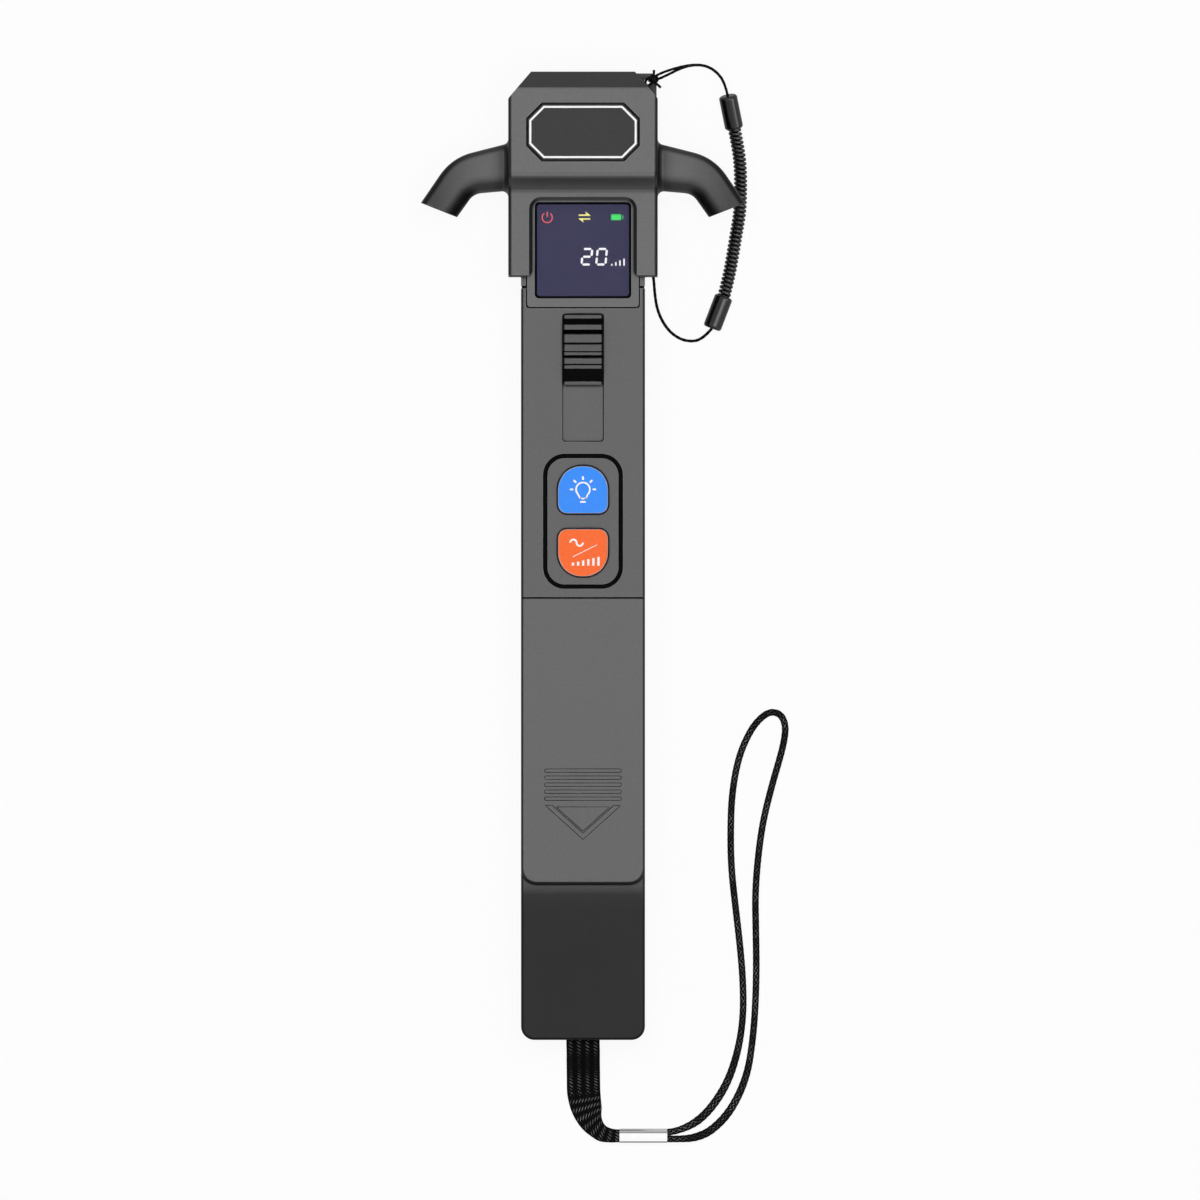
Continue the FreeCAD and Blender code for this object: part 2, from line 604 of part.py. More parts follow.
# Contacts: a flat plate against each end of the bay, with a stub that stands for its spring or its dimple.
upright = Vector(0, 1, 0)
plate_low = cell_z - s.contact_height / 2
stub = contact_room - s.contact_thickness - s.fit
terminals = []
for label, side in (("left_terminal", -1), ("right_terminal", 1)):
    start = Vector(side * cell_x.value, (bay_top - s.contact_thickness).value, cell_z.value)
    terminals.append(group(label, "MultiFuse", [
        box(label + "_plate", cell_x * side - s.contact_width / 2, cell_x * side + s.contact_width / 2,
            bay_top - s.contact_thickness, bay_top, plate_low, plate_low + s.contact_height),
        cylinder(label + "_stub", start, -upright, s.contact_spring, stub),
    ]))
group("terminal_contacts", "Compound", terminals)
bridge = [box("series_plate", -cell_x - s.contact_width / 2, cell_x + s.contact_width / 2,
              bay_low, bay_low + s.contact_thickness, plate_low, plate_low + s.contact_height)]
for label, side in (("left_series_stub", -1), ("right_series_stub", 1)):
    start = Vector(side * cell_x.value, (bay_low + s.contact_thickness).value, cell_z.value)
    bridge.append(cylinder(label, start, upright, s.contact_spring, stub))
group("series_contact", "MultiFuse", bridge)

# Battery door: a flat cover with grip ribs and an arrow, held by four feet in the grooves of the bay.
door = Piece("battery_door")
door.add("XY", door_under, s.handle_depth, [
    (-half, door_low, s.door_corner), (half, door_low, s.door_corner),
    (half, door_top, None), (-half, door_top, None),
])


def door_edges(edge):
    """Front edges of the door along its sides and its lower end."""
    box_of = edge.BoundBox
    return box_of.ZMin > s.handle_depth.value - 0.01 and box_of.YMin < door_top.value - 0.01


door.round(s.front_round, door_edges)
leg_out = bay_half - s.fit
leg_in = leg_out - s.leg_thickness
foot_base = door_under - s.foot_drop - s.foot_height
for foot_top in foot_tops:
    foot_end = foot_top - s.foot_length
    door.add("XY", foot_base, door_under,
             rectangle(-leg_out, -leg_in, foot_end, foot_top), rectangle(leg_in, leg_out, foot_end, foot_top))
    tip = leg_out + s.foot_reach
    door.add("XY", foot_base, foot_base + s.foot_height,
             rectangle(-tip, -leg_in, foot_end, foot_top), rectangle(leg_in, tip, foot_end, foot_top))
grip_top = door_top - s.grip_down
grips = []
for number in range(5):
    rib_y = grip_top - s.grip_pitch * number
    grips.append(rectangle(-s.grip_length / 2, s.grip_length / 2, rib_y - s.grip_height / 2,
                           rib_y + s.grip_height / 2, s.grip_height * 0.45))
door.add("XY", s.handle_depth, s.handle_depth + s.grip_rise, *grips)
arrow_y = door_top - s.arrow_down
arrow_in = s.grip_length / 2 * (NONE + 1 - s.arrow_band / s.arrow_fall)
door.add("XY", s.handle_depth, s.handle_depth + s.grip_rise, [
    (-s.grip_length / 2, arrow_y, None), (NONE, arrow_y - s.arrow_fall, None),
    (s.grip_length / 2, arrow_y, None), (arrow_in, arrow_y, None),
    (NONE, arrow_y - s.arrow_fall + s.arrow_band, None), (-arrow_in, arrow_y, None),
])
field_y = arrow_y - s.arrow_inset
field_in = arrow_in * (NONE + 1 - s.arrow_inset / (s.arrow_fall - s.arrow_band))
door.add("XY", s.handle_depth, s.handle_depth + s.grip_rise, [
    (s.seam - field_in, field_y, None), (NONE, arrow_y - s.arrow_fall + s.arrow_band + s.seam, None),
    (field_in - s.seam, field_y, None),
])
door.bevel(s.grip_bevel, lies(s.handle_depth + s.grip_rise, -half, half, door_low, door_top))

# Tail cap: lies under the end of the door, bends down to its end and takes the strap through a slot.
tail_front = door_under - s.tail_drop
tail = Piece("tail_cap")
tail.add("YZ", -half, half, [
    (tail_end, NONE, None), (rear_low - s.seam, NONE, None), (rear_low - s.seam, tail_front, None),
    (door_low - s.tail_flat, tail_front, s.tail_bend), (tail_end, s.tail_end_depth, None),
])
tail.round(s.tail_corner, runs("z", x=half, y=tail_end))
tail.round(s.back_round, runs("y", x=half, z=0))


def tail_edges(edge):
    """Front edges of the tail along its sides and round its end."""
    box_of = edge.BoundBox
    tail_top = (rear_low - s.seam).value
    high = box_of.ZMin > s.tail_end_depth.value - 0.01
    return high and box_of.YMax < tail_top + 0.01 and box_of.YMin < tail_top - s.wall.value


tail.round(s.front_round, tail_edges)
pin_y = tail_end + s.pin_inset
slot_half = s.strap_width / 2 + s.strap_room
slot_rise = s.strap_thickness / 2 + s.strap_room
tail.cut("XY", s.strap_height - slot_rise, s.strap_height + slot_rise,
         rectangle(-slot_half, slot_half, tail_end - s.wall, pin_y))
eye_outer = s.pin_diameter + s.strap_thickness * 2 + s.fit * 2
tail.cut("YZ", -slot_half, slot_half, (pin_y, s.strap_height, eye_outer + s.strap_room * 2))
pin_half = slot_half + s.pin_grip
tail.cut("YZ", -pin_half, pin_half, (pin_y, s.strap_height, s.pin_diameter + s.fit / 3))
cylinder("strap_pin", Vector(-pin_half.value + s.fit.value, pin_y.value, s.strap_height.value),
         Vector(1, 0, 0), s.pin_diameter, pin_half * 2 - s.fit * 2)

# Head frame: a C-shaped frame with the jaw above the fibre slot and the display seat below it.
jaw_low = hood_low + s.fibre_above
jaw_top = jaw_low + s.jaw_length
body_top = jaw_low - s.fibre_slot
neck = shell_top + s.neck_gap
head_back = s.hood_wall + s.hood_gap
slot_floor = head_back + s.spine
spigot_low = neck - s.spigot_length
guide_low = spigot_low + s.bulkhead
window_y = hood_low + s.window_above
module_half = s.module_width / 2
module_low = window_y - s.module_height / 2
module_high = window_y + s.module_height / 2
plunger_half = s.plunger_width / 2
plunger_rise = s.plunger_depth / 2
head = Piece("head_frame")
head.add("YZ", -half, half, [
    (neck, head_back, None), (jaw_top, head_back, None), (jaw_top, s.jaw_front, None),
    (jaw_low, s.jaw_front, None), (jaw_low, slot_floor, None), (body_top, slot_floor, None),
    (body_top, s.handle_depth, None), (neck, s.handle_depth, None),
])
corner = half - s.jaw_chamfer
shoulder = jaw_top - s.jaw_chamfer * 1.2
clear_x = half + s.wall
clear_y = jaw_top + s.wall
head.cut("XY", 0, s.jaw_front + s.wall,
         [(-clear_x, shoulder, None), (-half, shoulder, None), (-corner, jaw_top, None), (-corner, clear_y, None),
          (-clear_x, clear_y, None)],
         [(clear_x, shoulder, None), (clear_x, clear_y, None), (corner, clear_y, None), (corner, jaw_top, None),
          (half, shoulder, None)])
head.add("XY", s.wall + s.fit, face - s.fit,
         rectangle(s.fit - inner, inner - s.fit, spigot_low, neck + s.wall))
head.add("XY", head_back, s.handle_depth - s.neck_groove,
         rectangle(s.fit - half, half - s.fit, shell_top + s.fit / 3, neck + s.wall))
head.cut("XY", face, s.handle_depth + s.wall,
         rectangle(-seat, seat, spigot_low - s.wall, panel_top + s.fit))
head.cut("XY", face - s.module_depth, face,
         rectangle(-module_half - s.fit, module_half + s.fit, module_low - s.fit, module_high + s.fit))
head.cut("XY", s.fibre_height - plunger_rise - s.fit, s.fibre_height + plunger_rise + s.fit,
         rectangle(-plunger_half - s.fit, plunger_half + s.fit, guide_low, body_top + s.fit))
head.cut("XZ", spigot_low - s.wall, guide_low + s.fit, (NONE, s.fibre_height, s.rod_diameter + s.fit * 2))
nose_side = jaw_low - s.nose_gap
head.cut("XY", slot_floor, s.jaw_front + s.wall, [
    (-plunger_half - s.nose_gap, jaw_low - s.fibre_slot / 2, None),
    (plunger_half + s.nose_gap, jaw_low - s.fibre_slot / 2, None),
    (plunger_half + s.nose_gap, jaw_low, None),
    (NONE, jaw_low + s.nose_rise, s.nose_round), (-plunger_half - s.nose_gap, jaw_low, None),
])
flank = math.atan2(s.nose_rise.value, plunger_half.value)
diodes = []
for label, side in (("left_photodiode", -1), ("right_photodiode", 1)):
    aim = Vector(side * math.sin(flank), math.cos(flank), 0)
    spot = Vector(side * plunger_half.value * 0.62, jaw_low.value + s.nose_rise.value * 0.38,
                  s.fibre_height.value)
    head.drill(spot - aim * s.wall.value, aim, s.diode_window, s.diode_length + s.wall)
    bed = spot + aim * s.diode_inset.value
    head.drill(bed, aim, s.diode_diameter + s.fit / 3, s.diode_length + s.fit)
    cylinder(label, bed + aim * (s.fit.value / 2), aim, s.diode_diameter, s.diode_length)
lug_low = hood_low + s.lug_above
head.add("XY", s.fibre_height - s.lug_height / 2, s.fibre_height + s.lug_height / 2,
         rectangle(half - s.wall / 4, half + s.lug_reach, lug_low, lug_low + s.lug_length))
lug_x = half + s.lug_reach * 0.6
head.cut("XZ", lug_low - s.fit, lug_low + s.lug_length + s.fit, (lug_x, s.fibre_height, s.lug_hole))

# Display: panel, gasket, lens and module, one behind the other.
panel = Piece("display_panel")
panel.add("XY", face, s.handle_depth,
          rectangle(-panel_half, panel_half, panel_low, panel_top, s.panel_corner))
window_half = s.window_width / 2
window_rise = s.window_height / 2
panel.cut("XY", face, s.handle_depth,
          rectangle(-window_half, window_half, window_y - window_rise, window_y + window_rise,
                    s.window_corner))
thin = s.fit / 4
gasket = Piece("screen_gasket")
outer_x, outer_y = window_half - thin, window_rise - thin
gasket.add("XY", face, s.handle_depth - s.gasket_low,
           rectangle(-outer_x, outer_x, window_y - outer_y, window_y + outer_y, s.window_corner))
inner_x, inner_y = outer_x - s.gasket_band, outer_y - s.gasket_band
inner_corner = s.window_corner - s.gasket_band / 2
gasket.cut("XY", face, s.handle_depth,
           rectangle(-inner_x, inner_x, window_y - inner_y, window_y + inner_y, inner_corner))
lens = Piece("screen_lens")
lens_x, lens_y = inner_x - thin, inner_y - thin
lens.add("XY", face + s.fit, s.handle_depth - s.gasket_low,
         rectangle(-lens_x, lens_x, window_y - lens_y, window_y + lens_y, inner_corner))
box("display_module", -module_half, module_half, module_low, module_high, face - s.module_depth, face)

# Keypad: a plate held under the front shell, a seal round it and two buttons with their switches.
plate = Piece("keypad_plate")
plate_x = pad_half - s.seal_band
plate_y = pad_reach - s.seal_band
plate_corner = s.keypad_corner - s.seal_band
plate.add("XY", face, s.handle_depth,
          rectangle(-plate_x, plate_x, pad_y - plate_y, pad_y + plate_y, plate_corner))
flange_x = pad_half + s.flange_margin
plate.add("XY", face - s.flange_thickness, face,
          rectangle(-flange_x, flange_x, pad_y - pad_reach + s.flange_short, pad_y + pad_reach + s.flange_margin))
seal = Piece("keypad_seal")
seal_x, seal_y = pad_half - thin, pad_reach - thin
seal.add("XY", face, s.handle_depth - s.seal_low,
         rectangle(-seal_x, seal_x, pad_y - seal_y, pad_y + seal_y, s.keypad_corner))
hole_x, hole_y = plate_x + thin, plate_y + thin
seal.cut("XY", face, s.handle_depth,
         rectangle(-hole_x, hole_x, pad_y - hole_y, pad_y + hole_y, plate_corner))
for label, switch_label, way in (("light_button", "light_switch", 1), ("wavelength_button", "wavelength_switch", -1)):
    key_y = pad_y + s.button_offset * way

    def key_outline(grow):
        wide, tall = s.button_width / 2 + grow, s.button_height / 2 + grow
        arch, straight = s.button_arch + grow, s.button_corner + grow
        low_round, high_round = (straight, arch) if way > 0 else (arch, straight)
        return [(-wide, key_y - tall, low_round), (wide, key_y - tall, low_round),
                (wide, key_y + tall, high_round), (-wide, key_y + tall, high_round)]

    plate.cut("XY", face - s.flange_thickness, s.handle_depth, key_outline(s.button_gap))
    key = Piece(label)
    key_top = s.handle_depth + s.button_rise
    key.add("XY", lip_low, key_top, key_outline(NONE))
    key.round(s.button_round, lambda edge: edge.BoundBox.ZMin > key_top.value - 0.01)
    key.add("XY", lip_low, lip_low + s.button_lip_height, key_outline(s.button_lip))
    side = s.switch_size / 2
    group(switch_label, "MultiFuse", [
        box(switch_label + "_case", -side, side, key_y - side, key_y + side, board_top, board_top + s.switch_height),
        cylinder(switch_label + "_stud", Vector(0, key_y.value, board_top.value), Vector(0, 0, 1),
                 s.switch_stud, stud_top - board_top),
    ])
box("main_board", -s.board_width / 2, s.board_width / 2, board_low, board_high, board_back, board_top)

# Clamp: thumb slider, carriage, rod, plunger and return spring.
thumb = Piece("thumb_slider")
thumb_half = s.recess_width / 2 - s.thumb_side_gap
thumb_base = recess_floor + s.fit
ridge = s.handle_depth + s.thumb_rise
step = s.thumb_length / 100
rise = s.thumb_rise / 10


def thumb_point(down, up):
    return (thumb_top - step * down, s.handle_depth + rise * up, None)


thumb.add("YZ", -thumb_half, thumb_half, [
    (thumb_low, thumb_base, None), (thumb_top, thumb_base, None),
    thumb_point(0, 1.5), thumb_point(6.3, 1.8), thumb_point(6.7, 1), thumb_point(15.6, 8.3),
    thumb_point(22, 8.6), thumb_point(28.6, 3), thumb_point(29.3, 9.4), thumb_point(39.8, 9.4),
    thumb_point(43, 6.2), thumb_point(51.7, 7), thumb_point(53.6, 5.4), thumb_point(54, 7.6),
    thumb_point(57.3, 7.8), thumb_point(61.8, 4.8), thumb_point(62.3, 8.2), thumb_point(69.2, 8.6),
    thumb_point(71.5, 6.4), thumb_point(71.9, 9.6), thumb_point(76, 10), thumb_point(94.2, 0.8),
    thumb_point(94.6, 1.7), thumb_point(100, 1.4),
])
stem_foot = face - s.fit * 3 - s.stem_grip
for thumb_end in (thumb_top, thumb_low):
    thumb.round(s.recess_corner, runs("z", x=thumb_half, y=thumb_end))
thumb.add("XY", stem_foot, thumb_base,
          rectangle(-s.stem_width / 2, s.stem_width / 2, stem_low, stem_top))
carriage_top = face - s.fit * 3
carriage_high = spigot_low - s.fit * 3
carriage_low = carriage_high - s.carriage_length
carriage = Piece("slide_carriage")
carriage.add("XY", s.fibre_height - s.carriage_drop, carriage_top,
             rectangle(-s.carriage_width / 2, s.carriage_width / 2, carriage_low, carriage_high))
carriage.cut("XY", carriage_top - s.stem_grip, carriage_top,
             rectangle(-s.stem_width / 2, s.stem_width / 2, stem_low, stem_top))
carriage.cut("XZ", carriage_high - s.rod_grip, carriage_high,
             (NONE, s.fibre_height, s.rod_diameter + s.fit / 3))
nose_low = nose_side - s.plunger_length
plunger = Piece("plunger")
plunger.add("XY", s.fibre_height - plunger_rise, s.fibre_height + plunger_rise, [
    (-plunger_half, nose_low, None), (plunger_half, nose_low, None), (plunger_half, nose_side, None),
    (NONE, nose_side + s.nose_rise, s.nose_round), (-plunger_half, nose_side, None),
])
plunger.cut("XZ", nose_low, nose_low + s.rod_grip, (NONE, s.fibre_height, s.rod_diameter + s.fit / 3))
rod_low = carriage_high - s.rod_grip
cylinder("plunger_rod", Vector(0, rod_low.value, s.fibre_height.value), Vector(0, 1, 0),
         s.rod_diameter, nose_low + s.rod_grip - rod_low)
spring_low = guide_low + s.spring_wire / 2 + s.fit / 3
spring_high = nose_low - s.spring_wire / 2 - s.fit / 3
coil_line = doc.addObject("Part::Helix", "spring_line")
bind(coil_line, "Radius", s.spring_diameter / 2)
bind(coil_line, "Height", spring_high - spring_low)
bind(coil_line, "Pitch", (spring_high - spring_low) / s.spring_turns)
lay = FreeCAD.Rotation(Vector(0, 0, 1), Vector(0, 1, 0))
coil_line.Placement = FreeCAD.Placement(Vector(0, spring_low.value, s.fibre_height.value), lay)
doc.recompute()
wire_start = coil_line.Shape.Edges[0]
wire_section = doc.addObject("Part::Circle", "spring_section")
bind(wire_section, "Radius", s.spring_wire / 2)
aim = FreeCAD.Rotation(Vector(0, 0, 1), wire_start.tangentAt(wire_start.FirstParameter))
wire_section.Placement = FreeCAD.Placement(wire_start.valueAt(wire_start.FirstParameter), aim)
spring = keep("return_spring", doc.addObject("Part::Sweep", "return_spring"))
spring.Sections = [wire_section]
spring.Spine = (coil_line, [])
spring.Solid = True
spring.Frenet = True

# Hood: outer shape first, then the arms, the cavity, the slits and the notch.
hood_half = half + s.hood_side_gap + s.hood_side_wall
hood_front = s.handle_depth + s.hood_gap + s.hood_wall
bulge_front = hood_front + s.bulge_rise
bulge_foot = hood_low + s.bulge_low
bulge_head = bulge_foot + s.bulge_slope
hood = Piece("hood")
hood.add("YZ", -hood_half, hood_half, [
    (hood_low, NONE, None), (head_end, NONE, s.back_round), (head_end, bulge_front - s.bevel_fall, s.bevel_round),
    (head_end - s.bevel_length, bulge_front, s.bevel_round), (bulge_head, bulge_front, s.bulge_round),
    (bulge_foot, hood_front, s.bulge_round), (hood_low, hood_front, None),
])


def cut_corner(side, across, along, inset, beyond):
    """Triangle beyond the cut corner of the hood, on one side."""
    outer, top = hood_half - inset, head_end - inset
    corners = [(outer * side, top - along, None), ((outer + beyond) * side, top - along, None),
               ((outer + beyond) * side, top + beyond, None), ((outer - across) * side, top + beyond, None),
               ((outer - across) * side, top, None)]
    return corners if side > 0 else corners[::-1]


hood.cut("XY", 0, bulge_front, cut_corner(1, s.corner_across, s.corner_along, NONE, s.wall),
         cut_corner(-1, s.corner_across, s.corner_along, NONE, s.wall))


def hood_edges(edge):
    """Outer edges along the sides and the cut corners of the hood, except at its mouth."""
    box_of = edge.BoundBox
    if box_of.YMax < hood_low.value + 0.01:
        return False
    at_side = min(abs(box_of.XMin), abs(box_of.XMax)) > hood_half.value - 0.01
    return at_side and box_of.ZMax > 0.01


hood.round(s.hood_round, hood_edges)
arm_low = s.fibre_height - s.arm_depth / 2
arm_high = s.fibre_height + s.arm_depth / 2


def arm_outline(side, root, inset, beyond):
    """Outline of an arm, or of its channel when inset from the walls and carried beyond the mouth."""
    top = [
        (root, hood_low + s.arm_top_root - inset * 1.04, None),
        (hood_half + s.arm_top_bend_out - inset * 0.62, hood_low + s.arm_top_bend_up - inset * 0.86,
         s.arm_top_bend_round - inset),
        (hood_half + s.arm_tip_out - inset * 0.82 + beyond * 0.57,
         hood_low + s.arm_tip_up - inset * 0.57 - beyond * 0.82, None),
    ]
    low = [
        (hood_half + s.arm_heel_out + inset * 0.82 + beyond * 0.57,
         hood_low + s.arm_heel_up + inset * 0.57 - beyond * 0.82, None),
        (hood_half + s.arm_low_bend_out + inset * 0.5, hood_low + s.arm_low_bend_up + inset * 0.98,
         s.arm_low_bend_round + inset),
        (root, hood_low + s.arm_low_root + inset * 1.01, None),
    ]
    corners = [(x * side, y, r) for x, y, r in top + low]
    return corners if side < 0 else corners[::-1]


root_in = hood_half - s.hood_side_wall * 0.6
for side in (-1, 1):
    hood.add("XY", arm_low, arm_high, arm_outline(side, root_in, NONE, NONE))


def arm_edges(lower):
    """Long edges of the arms at their front and back, the lower or the upper ones, without the mouths."""
    root_y = (hood_low + (s.arm_top_root + s.arm_low_root) / 2).value
    tip_x = (hood_half + (s.arm_tip_out + s.arm_heel_out) / 2).value
    tip_y = (hood_low + (s.arm_tip_up + s.arm_heel_up) / 2).value
    lean = ((s.arm_tip_up - s.arm_heel_up) / (s.arm_tip_out - s.arm_heel_out)).value

    def chosen(edge):
        box_of = edge.BoundBox
        rise = min(abs(box_of.ZMin - arm_low.value), abs(box_of.ZMin - arm_high.value))
        flat = box_of.ZLength < 0.01 and rise < 0.01
        out = min(abs(box_of.XMin), abs(box_of.XMax)) > hood_half.value - 0.01
        if not flat or not out or box_of.XLength < 0.01:
            return False
        ends = [vertex.Point for vertex in edge.Vertexes]
        from_mouth = [abs(end.y - tip_y - (abs(end.x) - tip_x) * lean) for end in ends]
        spot = middle(edge)
        share = (abs(spot.x) - hood_half.value) / (tip_x - hood_half.value)
        below = spot.y < root_y + (tip_y - root_y) * share
        return max(from_mouth) > 0.05 and below == lower
    return chosen


hood.round(s.arm_low_round, arm_edges(True))
hood.round(s.arm_round, arm_edges(False))


def root_edges(edge):
    """Closed line where an arm meets the side of the hood."""
    box_of = edge.BoundBox
    on_side = box_of.XLength < 0.01 and abs(abs(box_of.XMin) - hood_half.value) < 0.01
    return on_side and box_of.ZMin > arm_low.value - 0.01 and box_of.ZMax < arm_high.value + 0.01


hood.round(s.arm_root_round, root_edges)
room = half + s.hood_side_gap
room_front = s.handle_depth + s.hood_gap
mouth = hood_low - s.wall
top_in = head_end - s.hood_wall


def room_outline(low, high):
    lean = s.corner_along / s.corner_across
    start = head_end - s.corner_along - (room - hood_half) * lean - s.hood_wall * 1.5
    narrow = room - (high - start) / lean
    return [(-room, low, None), (room, low, None), (room, start, None), (narrow, high, None),
            (-narrow, high, None), (-room, start, None)]


hood.cut("XY", s.hood_wall, room_front, room_outline(mouth, top_in))
hood.cut("XY", room_front, bulge_front - s.hood_wall * 2,
         room_outline(bulge_head - s.hood_wall / 4, head_end - s.bevel_length - s.hood_wall / 2))
for side in (-1, 1):
    hood.cut("XY", arm_low + s.arm_wall, arm_high - s.arm_wall,
             arm_outline(side, room - s.wall, s.arm_wall, s.wall))
slit_low = s.fibre_height - s.slit_width / 2
slit_high = s.fibre_height + s.slit_width / 2
for side in (-1, 1):
    way = [
        (room - s.wall, hood_low + s.arm_low_root + s.arm_wall * 2, None),
        (room - s.wall, mouth, None), (hood_half + s.wall, mouth, None),
        (hood_half + s.wall, hood_low + s.arm_low_root - s.arm_root_round * 3, None),
        (hood_half + s.arm_heel_out - s.wall, hood_low + s.arm_heel_up - s.wall * 3, None),
        (hood_half + s.arm_heel_out + s.arm_wall * 2, hood_low + s.arm_heel_up - s.wall, None),
        (hood_half + s.arm_low_bend_out + s.arm_wall, hood_low + s.arm_low_bend_up + s.arm_wall * 2, None),
    ]
    corners = [(x * side, y, r) for x, y, r in way]
    hood.cut("XY", slit_low, slit_high, corners if side > 0 else corners[::-1])
notch_half = s.notch_width / 2
notch_top = hood_low + s.notch_height
hood.cut("XY", room_front, hood_front, [
    (-notch_half, mouth, None), (notch_half, mouth, None),
    (notch_half, notch_top, s.notch_round), (-notch_half, notch_top, s.notch_round),
])
hood.bevel(s.notch_bevel, lies(hood_front, -notch_half, notch_half, hood_low, notch_top))


def mouth_edges(edge):
    """Front edges of the hood at its mouth, on either side of the notch."""
    box_of = edge.BoundBox
    return box_of.YMax < hood_low.value + 0.01 and box_of.ZMin > hood_front.value - 0.01


hood.bevel(s.mouth_bevel, mouth_edges)
flare_out = notch_half + s.notch_flare * 2
flare_top = hood_low + s.notch_flare * 2
hood.cut("XY", room_front, hood_front, [
    (-flare_out, mouth, None), (flare_out, mouth, None), (flare_out, hood_low, None),
    (notch_half, hood_low, s.notch_flare), (notch_half, flare_top, None),
    (-notch_half, flare_top, None), (-notch_half, hood_low, s.notch_flare), (-flare_out, hood_low, None),
])
plate_y = head_end - s.plate_down


def octagon(grow):
    wide, tall, cut = s.plate_width / 2 + grow, s.plate_height / 2 + grow, s.plate_chamfer
    return [(cut - wide, plate_y - tall, None), (wide - cut, plate_y - tall, None),
            (wide, plate_y - tall + cut, None), (wide, plate_y + tall - cut, None),
            (wide - cut, plate_y + tall, None), (cut - wide, plate_y + tall, None),
            (-wide, plate_y + tall - cut, None), (-wide, plate_y - tall + cut, None)]


hood.cut("XY", bulge_front - s.plate_depth, bulge_front, octagon(NONE))
plate_half = s.plate_width / 2
plate_rise = s.plate_height / 2
hood.bevel(s.plate_bevel, lies(bulge_front, -plate_half, plate_half, plate_y - plate_rise, plate_y + plate_rise))
tab_x = hood_half - s.tab_inset
tab_y = head_end - s.tab_inset
tab_end = s.corner_across + s.hood_wall
hood.add("XY", s.tab_height, s.tab_height + s.tab_thickness, [
    (tab_x - tab_end, tab_y - s.corner_along * 0.4, None),
    (tab_x - s.corner_across * 0.4, tab_y - s.corner_along - s.wall / 2, None),
    (tab_x, tab_y - s.corner_along - s.wall / 2, None),
    (tab_x, tab_y, s.tab_corner), (tab_x - tab_end, tab_y, None),
])
eyelet_x = hood_half - s.eyelet_inset
eyelet_y = head_end - s.eyelet_inset
hood.cut("XY", s.tab_height, s.tab_height + s.tab_thickness, (eyelet_x, eyelet_y, s.eyelet_diameter))
badge = Piece("hood_plate")
badge.add("XY", bulge_front - s.plate_depth, bulge_front - s.plate_low, octagon(-s.fit / 3))

# Cords: straight runs joined by tangent arcs, each arc as wide as its shorter run allows.
SHARE = 0.45


def cord_line(label, points):
    pieces = []
    start = points[0]
    least = None
    for before, spot, after in zip(points, points[1:], points[2:]):
        back, on = before - spot, after - spot
        reach = SHARE * min(back.Length, on.Length)
        half_turn = (math.pi - back.getAngle(on)) / 2
        radius = reach / math.tan(half_turn)
        least = radius if least is None else min(least, radius)
        back.normalize()
        on.normalize()
        first, last = spot + back * reach, spot + on * reach
        centre = spot + (back + on).normalize() * (radius / math.cos(half_turn))
        crest = centre + (spot - centre).normalize() * radius
        pieces.append(Part.LineSegment(start, first).toShape())
        pieces.append(Part.Arc(first, crest, last).toShape())
        start = last
    pieces.append(Part.LineSegment(start, points[-1]).toShape())
    line = Part.Wire(pieces)
    print(f"{label}: length {line.Length:.2f}, least radius {least:.2f}")
    print(f"{label}: " + ", ".join(f"({p.x:.2f}, {p.y:.2f}, {p.z:.2f})" for p in points))
    return line


def cord(label, points, diameter):
    line = cord_line(label, points)
    along = (points[1] - points[0]).normalize()
    section = Part.Wire([Part.Circle(points[0], along, diameter.value / 2).toShape()])
    solid = line.makePipeShell([section], True, False)
    wanted = math.pi * (diameter.value / 2) ** 2 * line.Length
    if abs(solid.Volume / wanted - 1) > 0.01:
        raise RuntimeError(f"{label} has {solid.Volume / wanted:.3f} of its volume")
    item = keep(label, doc.addObject("Part::Feature", label))
    item.Shape = solid
    return item


# Tether: a string doubled through the eyelet, a ferrule, the coil, a second ferrule and a string to the lug.
string_low = s.string_diameter.value / 2 + s.floor_gap.value
ferrule_z = s.ferrule_diameter.value / 2 + s.floor_gap.value
coil_z = s.coil_diameter.value / 2 + s.floor_gap.value
eyelet = Vector(eyelet_x.value, eyelet_y.value, 0)
tab_back = s.tab_height.value
tab_front = tab_back + s.tab_thickness.value
over = s.string_diameter.value * 1.6
UPPER_OUT = [(19.55, -3.39), (18.77, -0.31), (16.75, 2.18), (14.05, 3.74), (10.92, 3.86), (7.89, 3.43),
             (4.85, 2.75)]
UPPER_OUT_RISE = [2.35, 2.5, 2.6, 2.8, 3.2, 3.9, 4.7]
UPPER_BACK = [(4.95, 1.4), (7.95, 2.95), (10.92, 3.7), (13.95, 3.45), (16.55, 1.95), (18.5, -0.45),
              (19.5, -3.25)]
UPPER_BACK_RISE = [0.7, 1.5, 2.0, 2.1, 2.0, 1.85, 1.65]
upper_points = [eyelet + Vector(x, y, ferrule_z + z) for (x, y), z in zip(UPPER_OUT, UPPER_OUT_RISE)]
upper_points += [
    eyelet + Vector(2.35, 1.8, tab_front + over), eyelet + Vector(0.35, 0.4, tab_front + over),
    eyelet + Vector(0.25, 0.2, tab_back - over), eyelet + Vector(2.45, 0.35, tab_back - over * 1.15),
]
upper_points += [eyelet + Vector(x, y, ferrule_z + z) for (x, y), z in zip(UPPER_BACK, UPPER_BACK_RISE)]
cord("tether_upper_string", upper_points, s.string_diameter)
ferrule_top = (upper_points[0] + upper_points[-1]) * 0.5
UPPER_FERRULE_WAY = Vector(1.64, -8.1, -2.03).normalize()
LOWER_FERRULE_WAY = Vector(-3.06, -7.99, 0).normalize()
ferrule_low = ferrule_top + UPPER_FERRULE_WAY * s.ferrule_length.value
